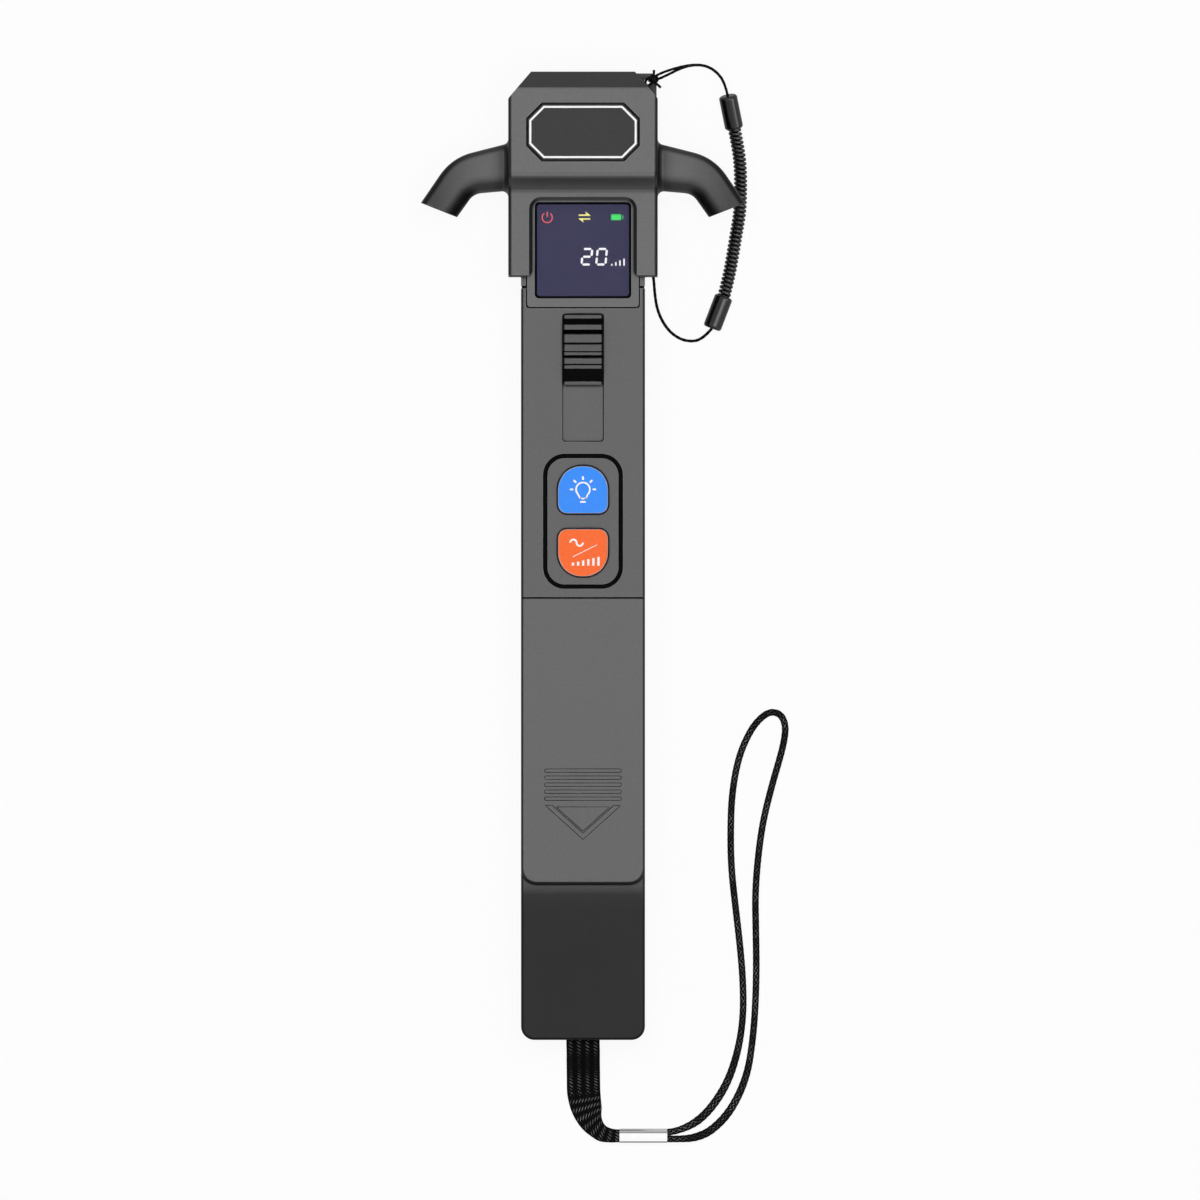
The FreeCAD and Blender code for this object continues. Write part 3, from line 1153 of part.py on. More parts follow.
lug_mouth = Vector(lug_x.value, lug_low.value, s.fibre_height.value)
LOWER_STRING = [(14.72, -13.79), (12.31, -16.66), (8.45, -16.98), (5.09, -15.28), (2.78, -12.46), (1.31, -9.07),
                (0.73, -5.41), (0.5, -1.9)]
LOWER_FALL = [0.0, 0.55, 0.86, 0.85, 0.75, 0.53, 0.27, 0.07]
lower_points = []
for (x, y), fall in zip(LOWER_STRING, LOWER_FALL):
    height = s.fibre_height.value - fall * (s.fibre_height.value - string_low)
    lower_points.append(lug_mouth + Vector(x, y, height - s.fibre_height.value))
lower_points[0].z = ferrule_z
lower_points[1].z = ferrule_z * 0.6
lower_points[2].z = string_low + 0.1
lower_points[3].z = string_low + 0.35
lower_points.append(lug_mouth + Vector(0, 1.6, 0))
cord("tether_lower_string", lower_points, s.string_diameter)
second_low = lower_points[0]
second_top = second_low - LOWER_FERRULE_WAY * s.ferrule_length.value


def ferrule(label, start, way):
    rod = cylinder(label + "_rod", start, way, s.ferrule_diameter, s.ferrule_length)
    PIECES.pop(label + "_rod")
    doc.recompute()
    item = keep(label, doc.addObject("Part::Fillet", label))
    item.Base = rod
    rims = [n for n, edge in enumerate(rod.Shape.Edges, start=1) if edge.Curve.TypeId == "Part::GeomCircle"]
    item.Edges = [(n, s.ferrule_round.value, s.ferrule_round.value) for n in rims]


ferrule("tether_upper_ferrule", ferrule_top, UPPER_FERRULE_WAY)
ferrule("tether_lower_ferrule", second_top, LOWER_FERRULE_WAY)
COIL_ROUTE = [(0.1238, 1.114), (0.2485, 1.635), (0.3746, 2.03), (0.5006, 2.589), (0.6254, 2.258),
              (0.7519, 1.8), (0.8757, 1.032)]
span = ferrule_low - second_top
aside = Vector(span.y, -span.x, 0).normalize()
coil_gap = s.floor_gap.value * 8
coil_points = [second_top - LOWER_FERRULE_WAY * coil_gap]
for share, bow in COIL_ROUTE:
    spot = second_top + span * share + aside * bow
    coil_points.append(Vector(spot.x, spot.y, coil_z))
coil_points.append(ferrule_low + UPPER_FERRULE_WAY * coil_gap)
for spot in (coil_points[1], coil_points[-2]):
    spot.z = coil_z + (ferrule_z - coil_z) * 0.2
cord("tether_coil", coil_points, s.coil_diameter)

# Wrist strap: a woven band round the pin, a metal crimp and a loop of round cord.
mouth_x = s.crimp_right
crimp_y = tail_end - s.crimp_down
crimp = Piece("strap_crimp")
crimp.add("YZ", mouth_x - s.crimp_length, mouth_x,
          rectangle(crimp_y - s.crimp_width / 2, crimp_y + s.crimp_width / 2, s.floor_gap,
                    s.floor_gap + s.crimp_height, s.crimp_height * 0.4))
LOOP_ROUTE = [
    (0.0, 0.92), (8.35, 4.61), (14.14, 12.01), (17.31, 20.47), (18.72, 29.38), (18.57, 38.68), (17.85, 47.65),
    (16.84, 56.61), (15.69, 65.81), (15.53, 74.81), (15.86, 83.86), (17.28, 92.77), (19.9, 99.1), (22.5, 102.5),
    (25.3, 104.1), (27.9, 103.4), (29.1, 100.6), (28.75, 97.0), (27.6, 92.68), (25.63, 86.01), (23.5, 77.17),
    (22.28, 68.44), (21.58, 59.35), (21.75, 50.53), (21.9, 41.47), (21.68, 32.35), (20.89, 23.63), (19.29, 14.6),
    (15.53, 6.43), (9.2, -0.58), (0.0, -0.92),
]
loop_low = s.loop_diameter.value / 2 + s.floor_gap.value
crimp_mouth = Vector(mouth_x.value, crimp_y.value, loop_low)
loop_points = [crimp_mouth + Vector(x, y, 0) for x, y in LOOP_ROUTE]
for spot in (loop_points[0], loop_points[-1]):
    spot.z = s.floor_gap.value + s.crimp_height.value / 2
cord("wrist_loop", loop_points, s.loop_diameter)


def band_section(spot, heading, dip, width, thickness):
    """Flat section of the band at a spot, facing along its heading and its dip, in degrees."""
    turn = math.radians(heading)
    fall = math.radians(dip)
    across = Vector(math.cos(turn), math.sin(turn), 0)
    along = Vector(math.sin(turn) * math.cos(fall), -math.cos(turn) * math.cos(fall), -math.sin(fall))
    up = across.cross(along) * -1
    ways = [(-1, -1), (1, -1), (1, 1), (-1, 1)]
    corners = [spot + across * (width / 2 * a) + up * (thickness / 2 * b) for a, b in ways]
    return Part.makePolygon(corners + corners[:1])


thick = s.strap_thickness.value
wide = s.strap_width.value
flat_z = thick / 2 + s.floor_gap.value
exit_z = s.strap_height.value
eye_y = pin_y.value - s.pin_diameter.value / 2 - thick / 2
crimp_x = mouth_x.value - s.crimp_length.value
drop = crimp_y.value - tail_end.value
sections = [
    band_section(Vector(0, eye_y, exit_z), 0, 0, wide, thick),
    band_section(Vector(0, tail_end.value + thick, exit_z), 0, 0, wide, thick),
    band_section(Vector(0, tail_end.value - thick * 0.6, exit_z), 0, 6, wide, thick),
    band_section(Vector(0.05, tail_end.value + drop * 0.22, exit_z * 0.6), 0, 42, wide, thick),
    band_section(Vector(0.1, tail_end.value + drop * 0.40, flat_z + 0.9), 1, 28, wide, thick),
    band_section(Vector(0.15, tail_end.value + drop * 0.53, flat_z + 0.05), 4, 0, wide, thick),
    band_section(Vector(crimp_x * 0.09, tail_end.value + drop * 0.70, flat_z), 16, 0, wide * 0.93, thick * 1.05),
    band_section(Vector(crimp_x * 0.27, tail_end.value + drop * 0.86, flat_z + 0.1), 40, 0, wide * 0.74, thick * 1.2),
    band_section(Vector(crimp_x * 0.56, tail_end.value + drop * 0.96, flat_z + 0.3), 66, 0, wide * 0.54, thick * 1.45),
    band_section(Vector(crimp_x, crimp_y.value, flat_z + 0.6), 88, 0, wide * 0.40, thick * 1.6),
]
ribbon = Part.makeLoft(sections, True, True)
eye = Part.makeCylinder(s.pin_diameter.value / 2 + s.fit.value + thick, wide,
                        Vector(-wide / 2, pin_y.value, exit_z), Vector(1, 0, 0))
bore = Part.makeCylinder(s.pin_diameter.value / 2 + s.fit.value, wide,
                         Vector(-wide / 2, pin_y.value, exit_z), Vector(1, 0, 0))
band = keep("wrist_band", doc.addObject("Part::Feature", "wrist_band"))
band.Shape = ribbon.fuse(eye).cut(bore).removeSplitter()

# Every object is sound before a file is written.
doc.recompute()
for item in doc.Objects:
    if "Invalid" in item.State or "Error" in item.State:
        raise RuntimeError(f"{item.Name} is {item.State}")
os.makedirs("parts", exist_ok=True)
for label, item in PIECES.items():
    shape = item.Shape
    if shape.isNull() or not shape.isValid() or not shape.Solids:
        raise RuntimeError(f"{label} is not a sound solid")
    shape.exportStep(f"parts/{label}.step")
    print(f"{label}: {len(shape.Solids)} solid, {shape.Volume:.1f} cubic millimetres")
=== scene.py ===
import math
import bpy
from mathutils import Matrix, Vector


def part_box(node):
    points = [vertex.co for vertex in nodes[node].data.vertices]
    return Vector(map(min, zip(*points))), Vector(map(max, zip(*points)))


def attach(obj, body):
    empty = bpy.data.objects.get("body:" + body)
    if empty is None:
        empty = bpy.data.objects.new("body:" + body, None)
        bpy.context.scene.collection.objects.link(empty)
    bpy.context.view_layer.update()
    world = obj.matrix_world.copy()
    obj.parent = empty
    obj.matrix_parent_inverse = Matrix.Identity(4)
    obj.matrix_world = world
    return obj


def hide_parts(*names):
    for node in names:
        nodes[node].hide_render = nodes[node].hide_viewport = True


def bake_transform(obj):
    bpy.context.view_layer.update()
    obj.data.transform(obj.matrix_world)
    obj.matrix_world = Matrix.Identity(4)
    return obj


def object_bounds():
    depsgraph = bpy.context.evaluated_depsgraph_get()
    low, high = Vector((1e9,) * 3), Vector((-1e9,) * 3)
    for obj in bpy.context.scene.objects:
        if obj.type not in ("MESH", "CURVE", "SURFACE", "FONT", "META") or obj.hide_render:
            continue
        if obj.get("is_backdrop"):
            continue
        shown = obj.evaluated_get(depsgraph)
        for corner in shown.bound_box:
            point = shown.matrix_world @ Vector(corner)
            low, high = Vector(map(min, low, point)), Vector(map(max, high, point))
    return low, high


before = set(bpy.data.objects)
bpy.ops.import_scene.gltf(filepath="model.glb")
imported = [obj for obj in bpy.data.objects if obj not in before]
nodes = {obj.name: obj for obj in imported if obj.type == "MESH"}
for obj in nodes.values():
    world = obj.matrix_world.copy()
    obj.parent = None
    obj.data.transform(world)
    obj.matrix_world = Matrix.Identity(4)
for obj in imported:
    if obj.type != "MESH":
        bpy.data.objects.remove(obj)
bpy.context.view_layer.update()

# Rear and front shell of the handle: two halves moulded in grey ABS with a fine eroded grain, joined at
# half depth and screwed together from the back. Their flanks carry painted shade, darker than the faces,
# and the slider's recess in the front shell has a painted shadow along its walls.
MM = 0.001
SHELL_GREY = (0.127, 0.127, 0.128)
RECESS_SIDE, RECESS_END, RECESS_CORNER, RECESS_FLOOR = 5.18 * MM, 27.9 * MM, 0.9 * MM, 19.2 * MM
# How far the painted shade reaches in creases and near close walls, and how wide the edges' wear and painted
# highlight are.
CREASE_SHADE_REACH, SHELTER_SHADE_REACH, EDGE_REACH = 0.9 * MM, 12 * MM, 0.3 * MM
# Edges lighter by wear and painted highlight take their colour times the gain, plus the lift.
RUBBED_AND_HIGHLIT_GAIN, RUBBED_AND_HIGHLIT_LIFT = 2.2, 0.02
COLOUR, NUMBER = "NodeSocketColor", "NodeSocketFloat"
SURFACE = {"Colour": COLOUR, "Roughness": NUMBER, "Height": NUMBER}


def fill(tree, sockets, values):
    """Gives sockets, by name or number, what they read: another socket or a plain value."""
    for key, value in values.items():
        if isinstance(value, bpy.types.NodeSocket):
            tree.links.new(value, sockets[key])
        else:
            sockets[key].default_value = value


def put(tree, kind, values=None, **settings):
    """Adds a shader node, with its settings and what its inputs read."""
    made = tree.nodes.new(kind)
    for key, value in settings.items():
        setattr(made, key, value)
    fill(tree, made.inputs, values or {})
    return made


def math_node(tree, operation, first, second=0.0):
    """The result of a Math node."""
    return put(tree, "ShaderNodeMath", {0: first, 1: second}, operation=operation).outputs[0]


def times(tree, first, *others):
    """The product of two or more values."""
    for other in others:
        first = math_node(tree, "MULTIPLY", first, other)
    return first


def spread(tree, value, low, high, start=0.0, end=1.0):
    """A Map Range node that turns start..end into low..high."""
    return put(tree, "ShaderNodeMapRange", {0: value, 1: start, 2: end, 3: low, 4: high}).outputs[0]


def blend_numbers(tree, share, first, second):
    """A Mix node between two numbers."""
    return put(tree, "ShaderNodeMix", {0: share, 2: first, 3: second}, data_type="FLOAT").outputs[0]


def blend_colours(tree, share, first, second):
    """A Mix node between two colours."""
    return put(tree, "ShaderNodeMix", {0: share, 6: first, 7: second}, data_type="RGBA").outputs[2]


def scale_colour(tree, colour, share):
    """A colour times a share."""
    return put(tree, "ShaderNodeVectorMath", {0: colour, "Scale": share}, operation="SCALE").outputs[0]


def coordinate(tree, which="Object"):
    """The spot being shaded in the object's own frame, or the Normal there."""
    return put(tree, "ShaderNodeTexCoord").outputs[which]


def split(tree, which="Object"):
    """The same as X, Y and Z."""
    return put(tree, "ShaderNodeSeparateXYZ", {0: coordinate(tree, which)}).outputs


def noise(tree, place, scale, detail=2.0, rough=0.55):
    """A noise texture's even value at a place; scale counts its lumps in a metre."""
    values = {"Vector": place, "Scale": scale, "Detail": detail, "Roughness": rough}
    return put(tree, "ShaderNodeTexNoise", values).outputs[0]


def uneven(tree, scale, low, high, detail=2.0):
    """A value that wanders from low to high over the surface."""
    return spread(tree, noise(tree, coordinate(tree), scale, detail), low, high, 0.3, 0.7)


def new_group(name, inputs, outputs):
    """An empty shader node group with named inputs (kind and start value) and outputs."""
    group = bpy.data.node_groups.new(name, "ShaderNodeTree")
    for label, (kind, value) in inputs.items():
        group.interface.new_socket(label, in_out="INPUT", socket_type=kind).default_value = value
    for label, kind in outputs.items():
        group.interface.new_socket(label, in_out="OUTPUT", socket_type=kind)
    return group, put(group, "NodeGroupInput").outputs, put(group, "NodeGroupOutput").inputs


def make_moulded_grain_and_shade():
    """Eroded mould grain: fine lumps, faint mottling, and painted shade on slopes, on side edges and in
    creases.
    """
    group, given, out = new_group(
        "moulded_grain_and_shade",
        {"Colour": (COLOUR, (0.1, 0.1, 0.1, 1)), "Slope Shade": (NUMBER, 0.5), "Crease Shade": (NUMBER, 0.25),
         "Lumps": (NUMBER, 2600.0), "Rough": (NUMBER, 0.55), "End Rim Shade": (NUMBER, 1.0)}, SURFACE)
    where = coordinate(group)
    mottle = noise(group, where, 55.0, 5.0)
    facing = split(group, "Normal")
    # Painted shade: the further a face slopes away from facing up, the darker it is painted.
    slope_shade = blend_numbers(group, spread(group, facing["Z"], 0.0, 1.0, 0.84, 0.99), given["Slope Shade"], 1.0)
    endways = times(group, math_node(group, "ABSOLUTE", facing["Y"]), given["End Rim Shade"])
    aside = math_node(group, "MAXIMUM", math_node(group, "ABSOLUTE", facing["X"]), endways)
    # Painted shade: dark rims painted on the fillets along the sides and ends.
    rim = times(group, spread(group, aside, 0.0, 1.0, 0.2, 0.5),
                spread(group, facing["Z"], 0.0, 1.0, 0.02, 0.1))
    slope_shade = times(group, slope_shade, blend_numbers(group, rim, 1.0, 0.1))
    slope_shade = blend_numbers(group, spread(group, facing["Z"], 1.0, 0.0, 0.0, 0.06), slope_shade, 0.85)
    # Painted shade in creases, where ambient occlusion finds walls close by.
    hollow = put(group, "ShaderNodeAmbientOcclusion", {"Distance": CREASE_SHADE_REACH}, samples=8).outputs["AO"]
    crease_shade = blend_numbers(group, spread(group, hollow, 0.0, 1.0, 0.35, 0.85), given["Crease Shade"], 1.0)
    tone = times(group, slope_shade, crease_shade, spread(group, mottle, 0.98, 1.02, 0.3, 0.7),
                 uneven(group, 1500.0, 0.96, 1.04, 1.0))
    rough = math_node(group, "ADD", given["Rough"], spread(group, mottle, -0.06, 0.06, 0.3, 0.7))
    fill(group, out, {"Colour": scale_colour(group, given["Colour"], tone), "Roughness": rough,
                      "Height": noise(group, where, given["Lumps"], 3.0, 0.6)})
    return group


def make_edge_wear_and_highlight():
    """A mask of the outer edges, for their wear and painted highlight, broken up where they are less rubbed.
    """
    group, given, out = new_group("edge_wear_and_highlight", {"Share": (NUMBER, 1.0)}, {"Mask": NUMBER})
    rounded = put(group, "ShaderNodeBevel", {"Radius": EDGE_REACH}, samples=6).outputs[0]
    true = put(group, "ShaderNodeNewGeometry").outputs["Normal"]
    alike = put(group, "ShaderNodeVectorMath", {0: rounded, 1: true}, operation="DOT_PRODUCT")
    edges = spread(group, alike.outputs["Value"], 1.0, 0.0, 0.88, 0.985)
    worn_and_highlit = spread(group, noise(group, coordinate(group), 160.0, 4.0), 0.5, 1.0, 0.35, 0.65)
    fill(group, out, {"Mask": times(group, edges, worn_and_highlit, given["Share"])})
    return group


moulded_grain_and_shade = make_moulded_grain_and_shade()
edge_wear_and_highlight = make_edge_wear_and_highlight()


def new_material(name):
    """A node material, its tree and its Principled shader's inputs."""
    material = bpy.data.materials.new(name)
    material.use_nodes = True
    return material, material.node_tree, material.node_tree.nodes["Principled BSDF"].inputs


def dress(tree, shader, group, values, depth, strength=1.0):
    """Leads a group's colour, roughness and height, as bumps of a depth in metres, into the shader."""
    made = put(tree, "ShaderNodeGroup", values, node_tree=group).outputs
    bumps = put(tree, "ShaderNodeBump", {"Strength": strength, "Distance": depth, "Height": made["Height"]})
    fill(tree, shader, {"Base Color": made["Colour"], "Roughness": made["Roughness"],
                        "Normal": bumps.outputs[0]})
    return made


def retone(tree, share):
    """Takes the colour of a tree's shader to a share of itself."""
    colour = tree.nodes["Principled BSDF"].inputs["Base Color"]
    tree.links.new(scale_colour(tree, colour.links[0].from_socket, share), colour)


def moulded_plastic(name, colour, slope_shade=0.3, crease_shade=0.03, lumps=2600.0, rough=0.44, depth=0.000012,
                    shine=0.12, wear_and_highlight=0.6, shelter_shade=1.0, end_rim_shade=1.0, coat=0.0):
    """Grained plastic with painted shade, and with edges lighter by wear and painted highlight. Its colour
    falls as painted shade to a given share where walls stand close round it, and it may have a glossy skin
    where it faces up."""
    material, tree, shader = new_material(name)
    values = {"Colour": (*colour, 1), "Slope Shade": slope_shade, "Crease Shade": crease_shade, "Lumps": lumps,
              "Rough": rough, "End Rim Shade": end_rim_shade}
    grain = dress(tree, shader, moulded_grain_and_shade, values, depth)
    # Edges made lighter by wear and by painted highlight.
    worn_and_highlit = put(tree, "ShaderNodeGroup", {"Share": wear_and_highlight}, node_tree=edge_wear_and_highlight).outputs["Mask"]
    rubbed_and_highlit = (*(min(1.0, part * RUBBED_AND_HIGHLIT_GAIN + RUBBED_AND_HIGHLIT_LIFT) for part in colour), 1)
    fill(tree, shader, {"Base Color": blend_colours(tree, worn_and_highlit, grain["Colour"], rubbed_and_highlit),
                        "Specular IOR Level": shine})
    if shelter_shade < 1.0:
        # Painted shade where walls stand close round the surface.
        around = put(tree, "ShaderNodeAmbientOcclusion", {"Distance": SHELTER_SHADE_REACH}, samples=8).outputs["AO"]
        retone(tree, spread(tree, around, shelter_shade, 1.0, 0.5, 0.82))
    if coat:
        fill(tree, shader, {"Coat Weight": spread(tree, split(tree, "Normal")["Z"], 0.0, coat, 0.35, 0.7),
                            "Coat Roughness": 0.16})
    return material


def cover(piece, material):
    """Gives a piece its one material."""
    piece.data.materials.clear()
    piece.data.materials.append(material)


def finish_node(material, *names):
    """Gives CAD nodes their material, and gives back its tree."""
    for name in names:
        cover(nodes[name], material)
    return material.node_tree


def from_corners(tree, place, side, end, corner):
    """How far a spot lies from the corner arcs' centres of an oblong that is rounded at its lower end."""
    past_side = math_node(tree, "SUBTRACT", math_node(tree, "ABSOLUTE", place["X"]), side - corner)
    past_end = math_node(tree, "SUBTRACT", end + corner, place["Y"])
    squares = []
    for past in (past_side, past_end):
        past = math_node(tree, "MAXIMUM", past, 0.0)
        squares.append(times(tree, past, past))
    return math_node(tree, "SQRT", math_node(tree, "ADD", *squares))


finish_node(moulded_plastic("shell_plastic", SHELL_GREY), "rear_shell")
tree = finish_node(moulded_plastic("front_plastic", SHELL_GREY), "front_shell")
# Painted shadow: a dark line on the recess floor along its walls, darker on the +X side.
place = split(tree)
reach = from_corners(tree, place, RECESS_SIDE, RECESS_END, RECESS_CORNER)
shade = times(tree, spread(tree, place["X"], 0.45, 0.72, RECESS_SIDE * -0.5, RECESS_SIDE * 0.5),
              spread(tree, reach, 0.0, 1.0, RECESS_CORNER - 0.38 * MM, RECESS_CORNER - 0.22 * MM),
              spread(tree, reach, 1.0, 0.0, RECESS_CORNER + 0.04 * MM, RECESS_CORNER + 0.08 * MM),
              spread(tree, place["Z"], 0.0, 1.0, RECESS_FLOOR - 0.3 * MM, RECESS_FLOOR - 0.2 * MM),
              spread(tree, place["Z"], 1.0, 0.0, RECESS_FLOOR + 0.6 * MM, RECESS_FLOOR + 0.7 * MM))
retone(tree, math_node(tree, "SUBTRACT", 1.0, shade))

# Case screws, strap pin and plunger rod: turned steel, zinc plated, with fine lathe marks round their axes.
# The screws go in from the back, the pin is pressed into the tail and the rod into the plunger.
STEEL = (0.52, 0.52, 0.53)
MARKS_ACROSS, MARKS_ALONG = 6000.0, 60.0


def make_drawn_marks():
    """Fine parallel marks of drawn or turned metal, and faint staining."""
    group, given, out = new_group(
        "drawn_marks", {"Colour": (COLOUR, (0.5, 0.5, 0.5, 1)), "Rough": (NUMBER, 0.3)}, SURFACE)
    drawn = put(group, "ShaderNodeMapping", {"Vector": coordinate(group),
                                             "Scale": (MARKS_ACROSS, MARKS_ALONG, MARKS_ACROSS)}).outputs[0]
    marks = noise(group, drawn, 1.0, 3.0)
    tone = times(group, spread(group, marks, 0.9, 1.08, 0.3, 0.7), uneven(group, 220.0, 0.9, 1.05, 4.0))
    rough = math_node(group, "ADD", given["Rough"], spread(group, marks, -0.06, 0.08, 0.3, 0.7))
    fill(group, out, {"Colour": scale_colour(group, given["Colour"], tone), "Roughness": rough,
                      "Height": marks})
    return group


drawn_marks = make_drawn_marks()


def bare_metal(name, colour, rough=0.3):
    """Plated or bare metal with drawn marks."""
    material, tree, shader = new_material(name)
    dress(tree, shader, drawn_marks, {"Colour": (*colour, 1), "Rough": rough}, depth=0.000004)
    fill(tree, shader, {"Metallic": 1.0})
    return material


turned_steel = bare_metal("turned_steel", STEEL)
finish_node(turned_steel, "case_screws", "strap_pin", "plunger_rod")

# Two battery cells in the bay under the door, side by side and opposed: steel cans in a shrunk-on plastic
# sleeve, with a copper band at the head end of each.
CELL_SLEEVE = (0.035, 0.036, 0.040)
CELL_BAND = (0.42, 0.20, 0.09)
BAND_SHARE = 0.24


def cell_skin(name, band_low, band_high):
    """Sleeve colour with one band between two places along the cell."""
    material, tree, shader = new_material(name)
    along = split(tree)["Y"]
    banded = times(tree, math_node(tree, "GREATER_THAN", along, band_low),
                   math_node(tree, "LESS_THAN", along, band_high))
    fill(tree, shader, {"Base Color": blend_colours(tree, banded, (*CELL_SLEEVE, 1), (*CELL_BAND, 1)),
                        "Roughness": uneven(tree, 300.0, 0.22, 0.40, 5.0)})
    return material


for name, head_up in (("left_cell", True), ("right_cell", False)):
    low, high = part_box(name)
    reach = (high.y - low.y) * BAND_SHARE
    place = (high.y - reach, high.y) if head_up else (low.y, low.y + reach)
    finish_node(cell_skin(f"{name}_skin", *place), name)

# Battery contacts: nickel-plated spring steel, stamped and wound. Two terminals press on the cells at one
# end of the bay, and one strip joins the cells at the other.
finish_node(bare_metal("contact_nickel", (0.62, 0.60, 0.56), 0.22), "terminal_contacts", "series_contact")

# Main board and its two switches: green solder mask over copper traces, and black switch cases soldered on
# under the keys.
BOARD_GREEN, TRACE_GREEN = (0.010, 0.085, 0.035, 1), (0.030, 0.170, 0.070, 1)
board_mask, tree, shader = new_material("board_mask")
traces = put(tree, "ShaderNodeTexBrick", {"Vector": coordinate(tree), "Scale": 260.0, "Mortar Size": 0.06,
                                         "Color1": BOARD_GREEN, "Color2": BOARD_GREEN, "Mortar": TRACE_GREEN})
fill(tree, shader, {"Base Color": traces.outputs["Color"], "Roughness": uneven(tree, 400.0, 0.25, 0.42)})
finish_node(board_mask, "main_board")
finish_node(moulded_plastic("switch_plastic", (0.02, 0.02, 0.021), slope_shade=1.0, rough=0.4, shine=0.4),
            "light_switch", "wavelength_switch")

# Battery door: a flat lid moulded in the shells' plastic, which slides down off the bay on two pairs of feet.
# Its grip ribs and arrow stand proud, and the joint over its upper end is black.
door_plastic = moulded_plastic("door_plastic", (0.136, 0.136, 0.137), slope_shade=0.5, crease_shade=0.12)
tree = finish_node(door_plastic, "battery_door")
door_low, door_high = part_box("battery_door")
retone(tree, spread(tree, split(tree)["Y"], 1.0, 0.05, door_high.y - 0.2 * MM, door_high.y - 0.14 * MM))

# Tail cap: a separate, darker moulding with a soft-touch skin that closes the lower end and holds the strap;
# its darker colour is also painted shade of its down-turned slope. A painted highlight makes its skin paler
# towards the end of the door, and the joint along the door's end is black.
DOOR_CORNER = 4.0 * MM
tail_plastic = moulded_plastic("tail_plastic", (0.024, 0.024, 0.0245), slope_shade=0.4, lumps=3200.0, shine=0.1,
                               wear_and_highlight=0.3)
tree = finish_node(tail_plastic, "tail_cap")
place = split(tree)
reach = from_corners(tree, place, door_high.x, door_low.y, DOOR_CORNER)
# Painted highlight: the skin is up to three times paler towards the end of the door; the black joint follows
# the door's end.
retone(tree, times(tree, spread(tree, place["Y"], 1.0, 3.0, door_low.y - 2.6 * MM, door_low.y - 0.3 * MM),
                   spread(tree, reach, 0.03, 1.0, DOOR_CORNER + 0.22 * MM, DOOR_CORNER + 0.36 * MM)))

# Head frame: the inner moulding that carries the display, guides the plunger and forms the jaw over the
# fibre. It stands in the top of the shells. Painted shade makes it near black below its neck, inside the
# shells, so the gap at its neck is black, and darker where walls stand close round it.
NECK_TOP = 66.1 * MM
frame_plastic = moulded_plastic("frame_plastic", (0.130, 0.130, 0.131), slope_shade=0.6, shelter_shade=0.3, end_rim_shade=0.0)
tree = finish_node(frame_plastic, "head_frame")
# Painted shade: near black below the top of its neck.
retone(tree, spread(tree, split(tree)["Y"], 0.03, 1.0, NECK_TOP - 0.08 * MM, NECK_TOP))

# Photodiodes: two plated cans drawn from sheet metal. They are pressed into the angled seats of the jaw, one
# on each side of the bent fibre.
finish_node(bare_metal("diode_can", (0.66, 0.58, 0.40), 0.2), "left_photodiode", "right_photodiode")

# Display panel: a flat cover plate round the screen, moulded in the same grained plastic as the shells and
# set on the front of the head frame.
finish_node(moulded_plastic("panel_plastic", (0.154, 0.154, 0.155)), "display_panel")

# Screen gasket and keypad seal: black moulded silicone with a faint bloom on it. Both are pressed into their
# grooves, round the lens and round the keypad plate.
finish_node(moulded_plastic("black_rubber", (0.0022, 0.0022, 0.0024), slope_shade=1.0, lumps=5200.0, rough=0.6,
                            depth=0.000008, shine=0.02, wear_and_highlight=0.0), "screen_gasket", "keypad_seal")

# Screen lens: a clear window cut from acrylic sheet, with a faint anti-reflection coat, and cemented into the
# gasket over the display module.
LENS_WIPED, LENS_CLEAR = (0.93, 0.93, 0.95, 1), (0.98, 0.98, 0.99, 1)
lens_acrylic, tree, shader = new_material("lens_acrylic")
wipe = spread(tree, noise(tree, coordinate(tree), 90.0, 6.0), 0.0, 1.0, 0.35, 0.6)
fill(tree, shader, {"Base Color": blend_colours(tree, wipe, LENS_WIPED, LENS_CLEAR), "Roughness": 0.0,
                    "Transmission Weight": 1.0, "IOR": 1.16})
finish_node(lens_acrylic, "screen_lens")

# Display module: a colour LCD that the head frame holds behind the lens. It is lit a deep violet blue all
# over, with a fine grid of cells.
SCREEN_BLUE = (0.039, 0.036, 0.094, 1)
screen_glow, tree, shader = new_material("screen_glow")
cells = put(tree, "ShaderNodeTexChecker", {"Vector": coordinate(tree), "Scale": 8000.0,
                                           "Color1": (1, 1, 1, 1), "Color2": (0.9, 0.9, 0.9, 1)})
tint = put(tree, "ShaderNodeMix", {0: 1.0, 6: SCREEN_BLUE, 7: cells.outputs["Color"]}, data_type="RGBA",
           blend_type="MULTIPLY")
fill(tree, shader, {"Emission Color": scale_colour(tree, tint.outputs[2], uneven(tree, 60.0, 0.94, 1.06)),
                    "Base Color": (0.004, 0.004, 0.008, 1), "Emission Strength": 0.8, "Roughness": 0.4,
                    "Specular IOR Level": 0.1})
finish_node(screen_glow, "display_module")


# Screen symbols: lit segments and signs just over the face of the module. They are the usual signs for
# power, exchange and charge, a plain two-digit number and four level bars.
def edit_all():
    """Goes into edit mode with all of the active piece selected."""
    bpy.ops.object.mode_set(mode="EDIT")
    bpy.ops.mesh.select_all(action="SELECT")


def end_edit():
    """Leaves edit mode, puts the piece's place and size into its mesh and gives it back."""
    bpy.ops.object.mode_set(mode="OBJECT")
    bpy.ops.object.transform_apply(location=True, rotation=True, scale=True)
    return bpy.context.object


def add_flat(adder, **sizes):
    """Adds a flat primitive as the only selected piece."""
    bpy.ops.object.select_all(action="DESELECT")
    adder(**sizes)
    return bpy.context.object


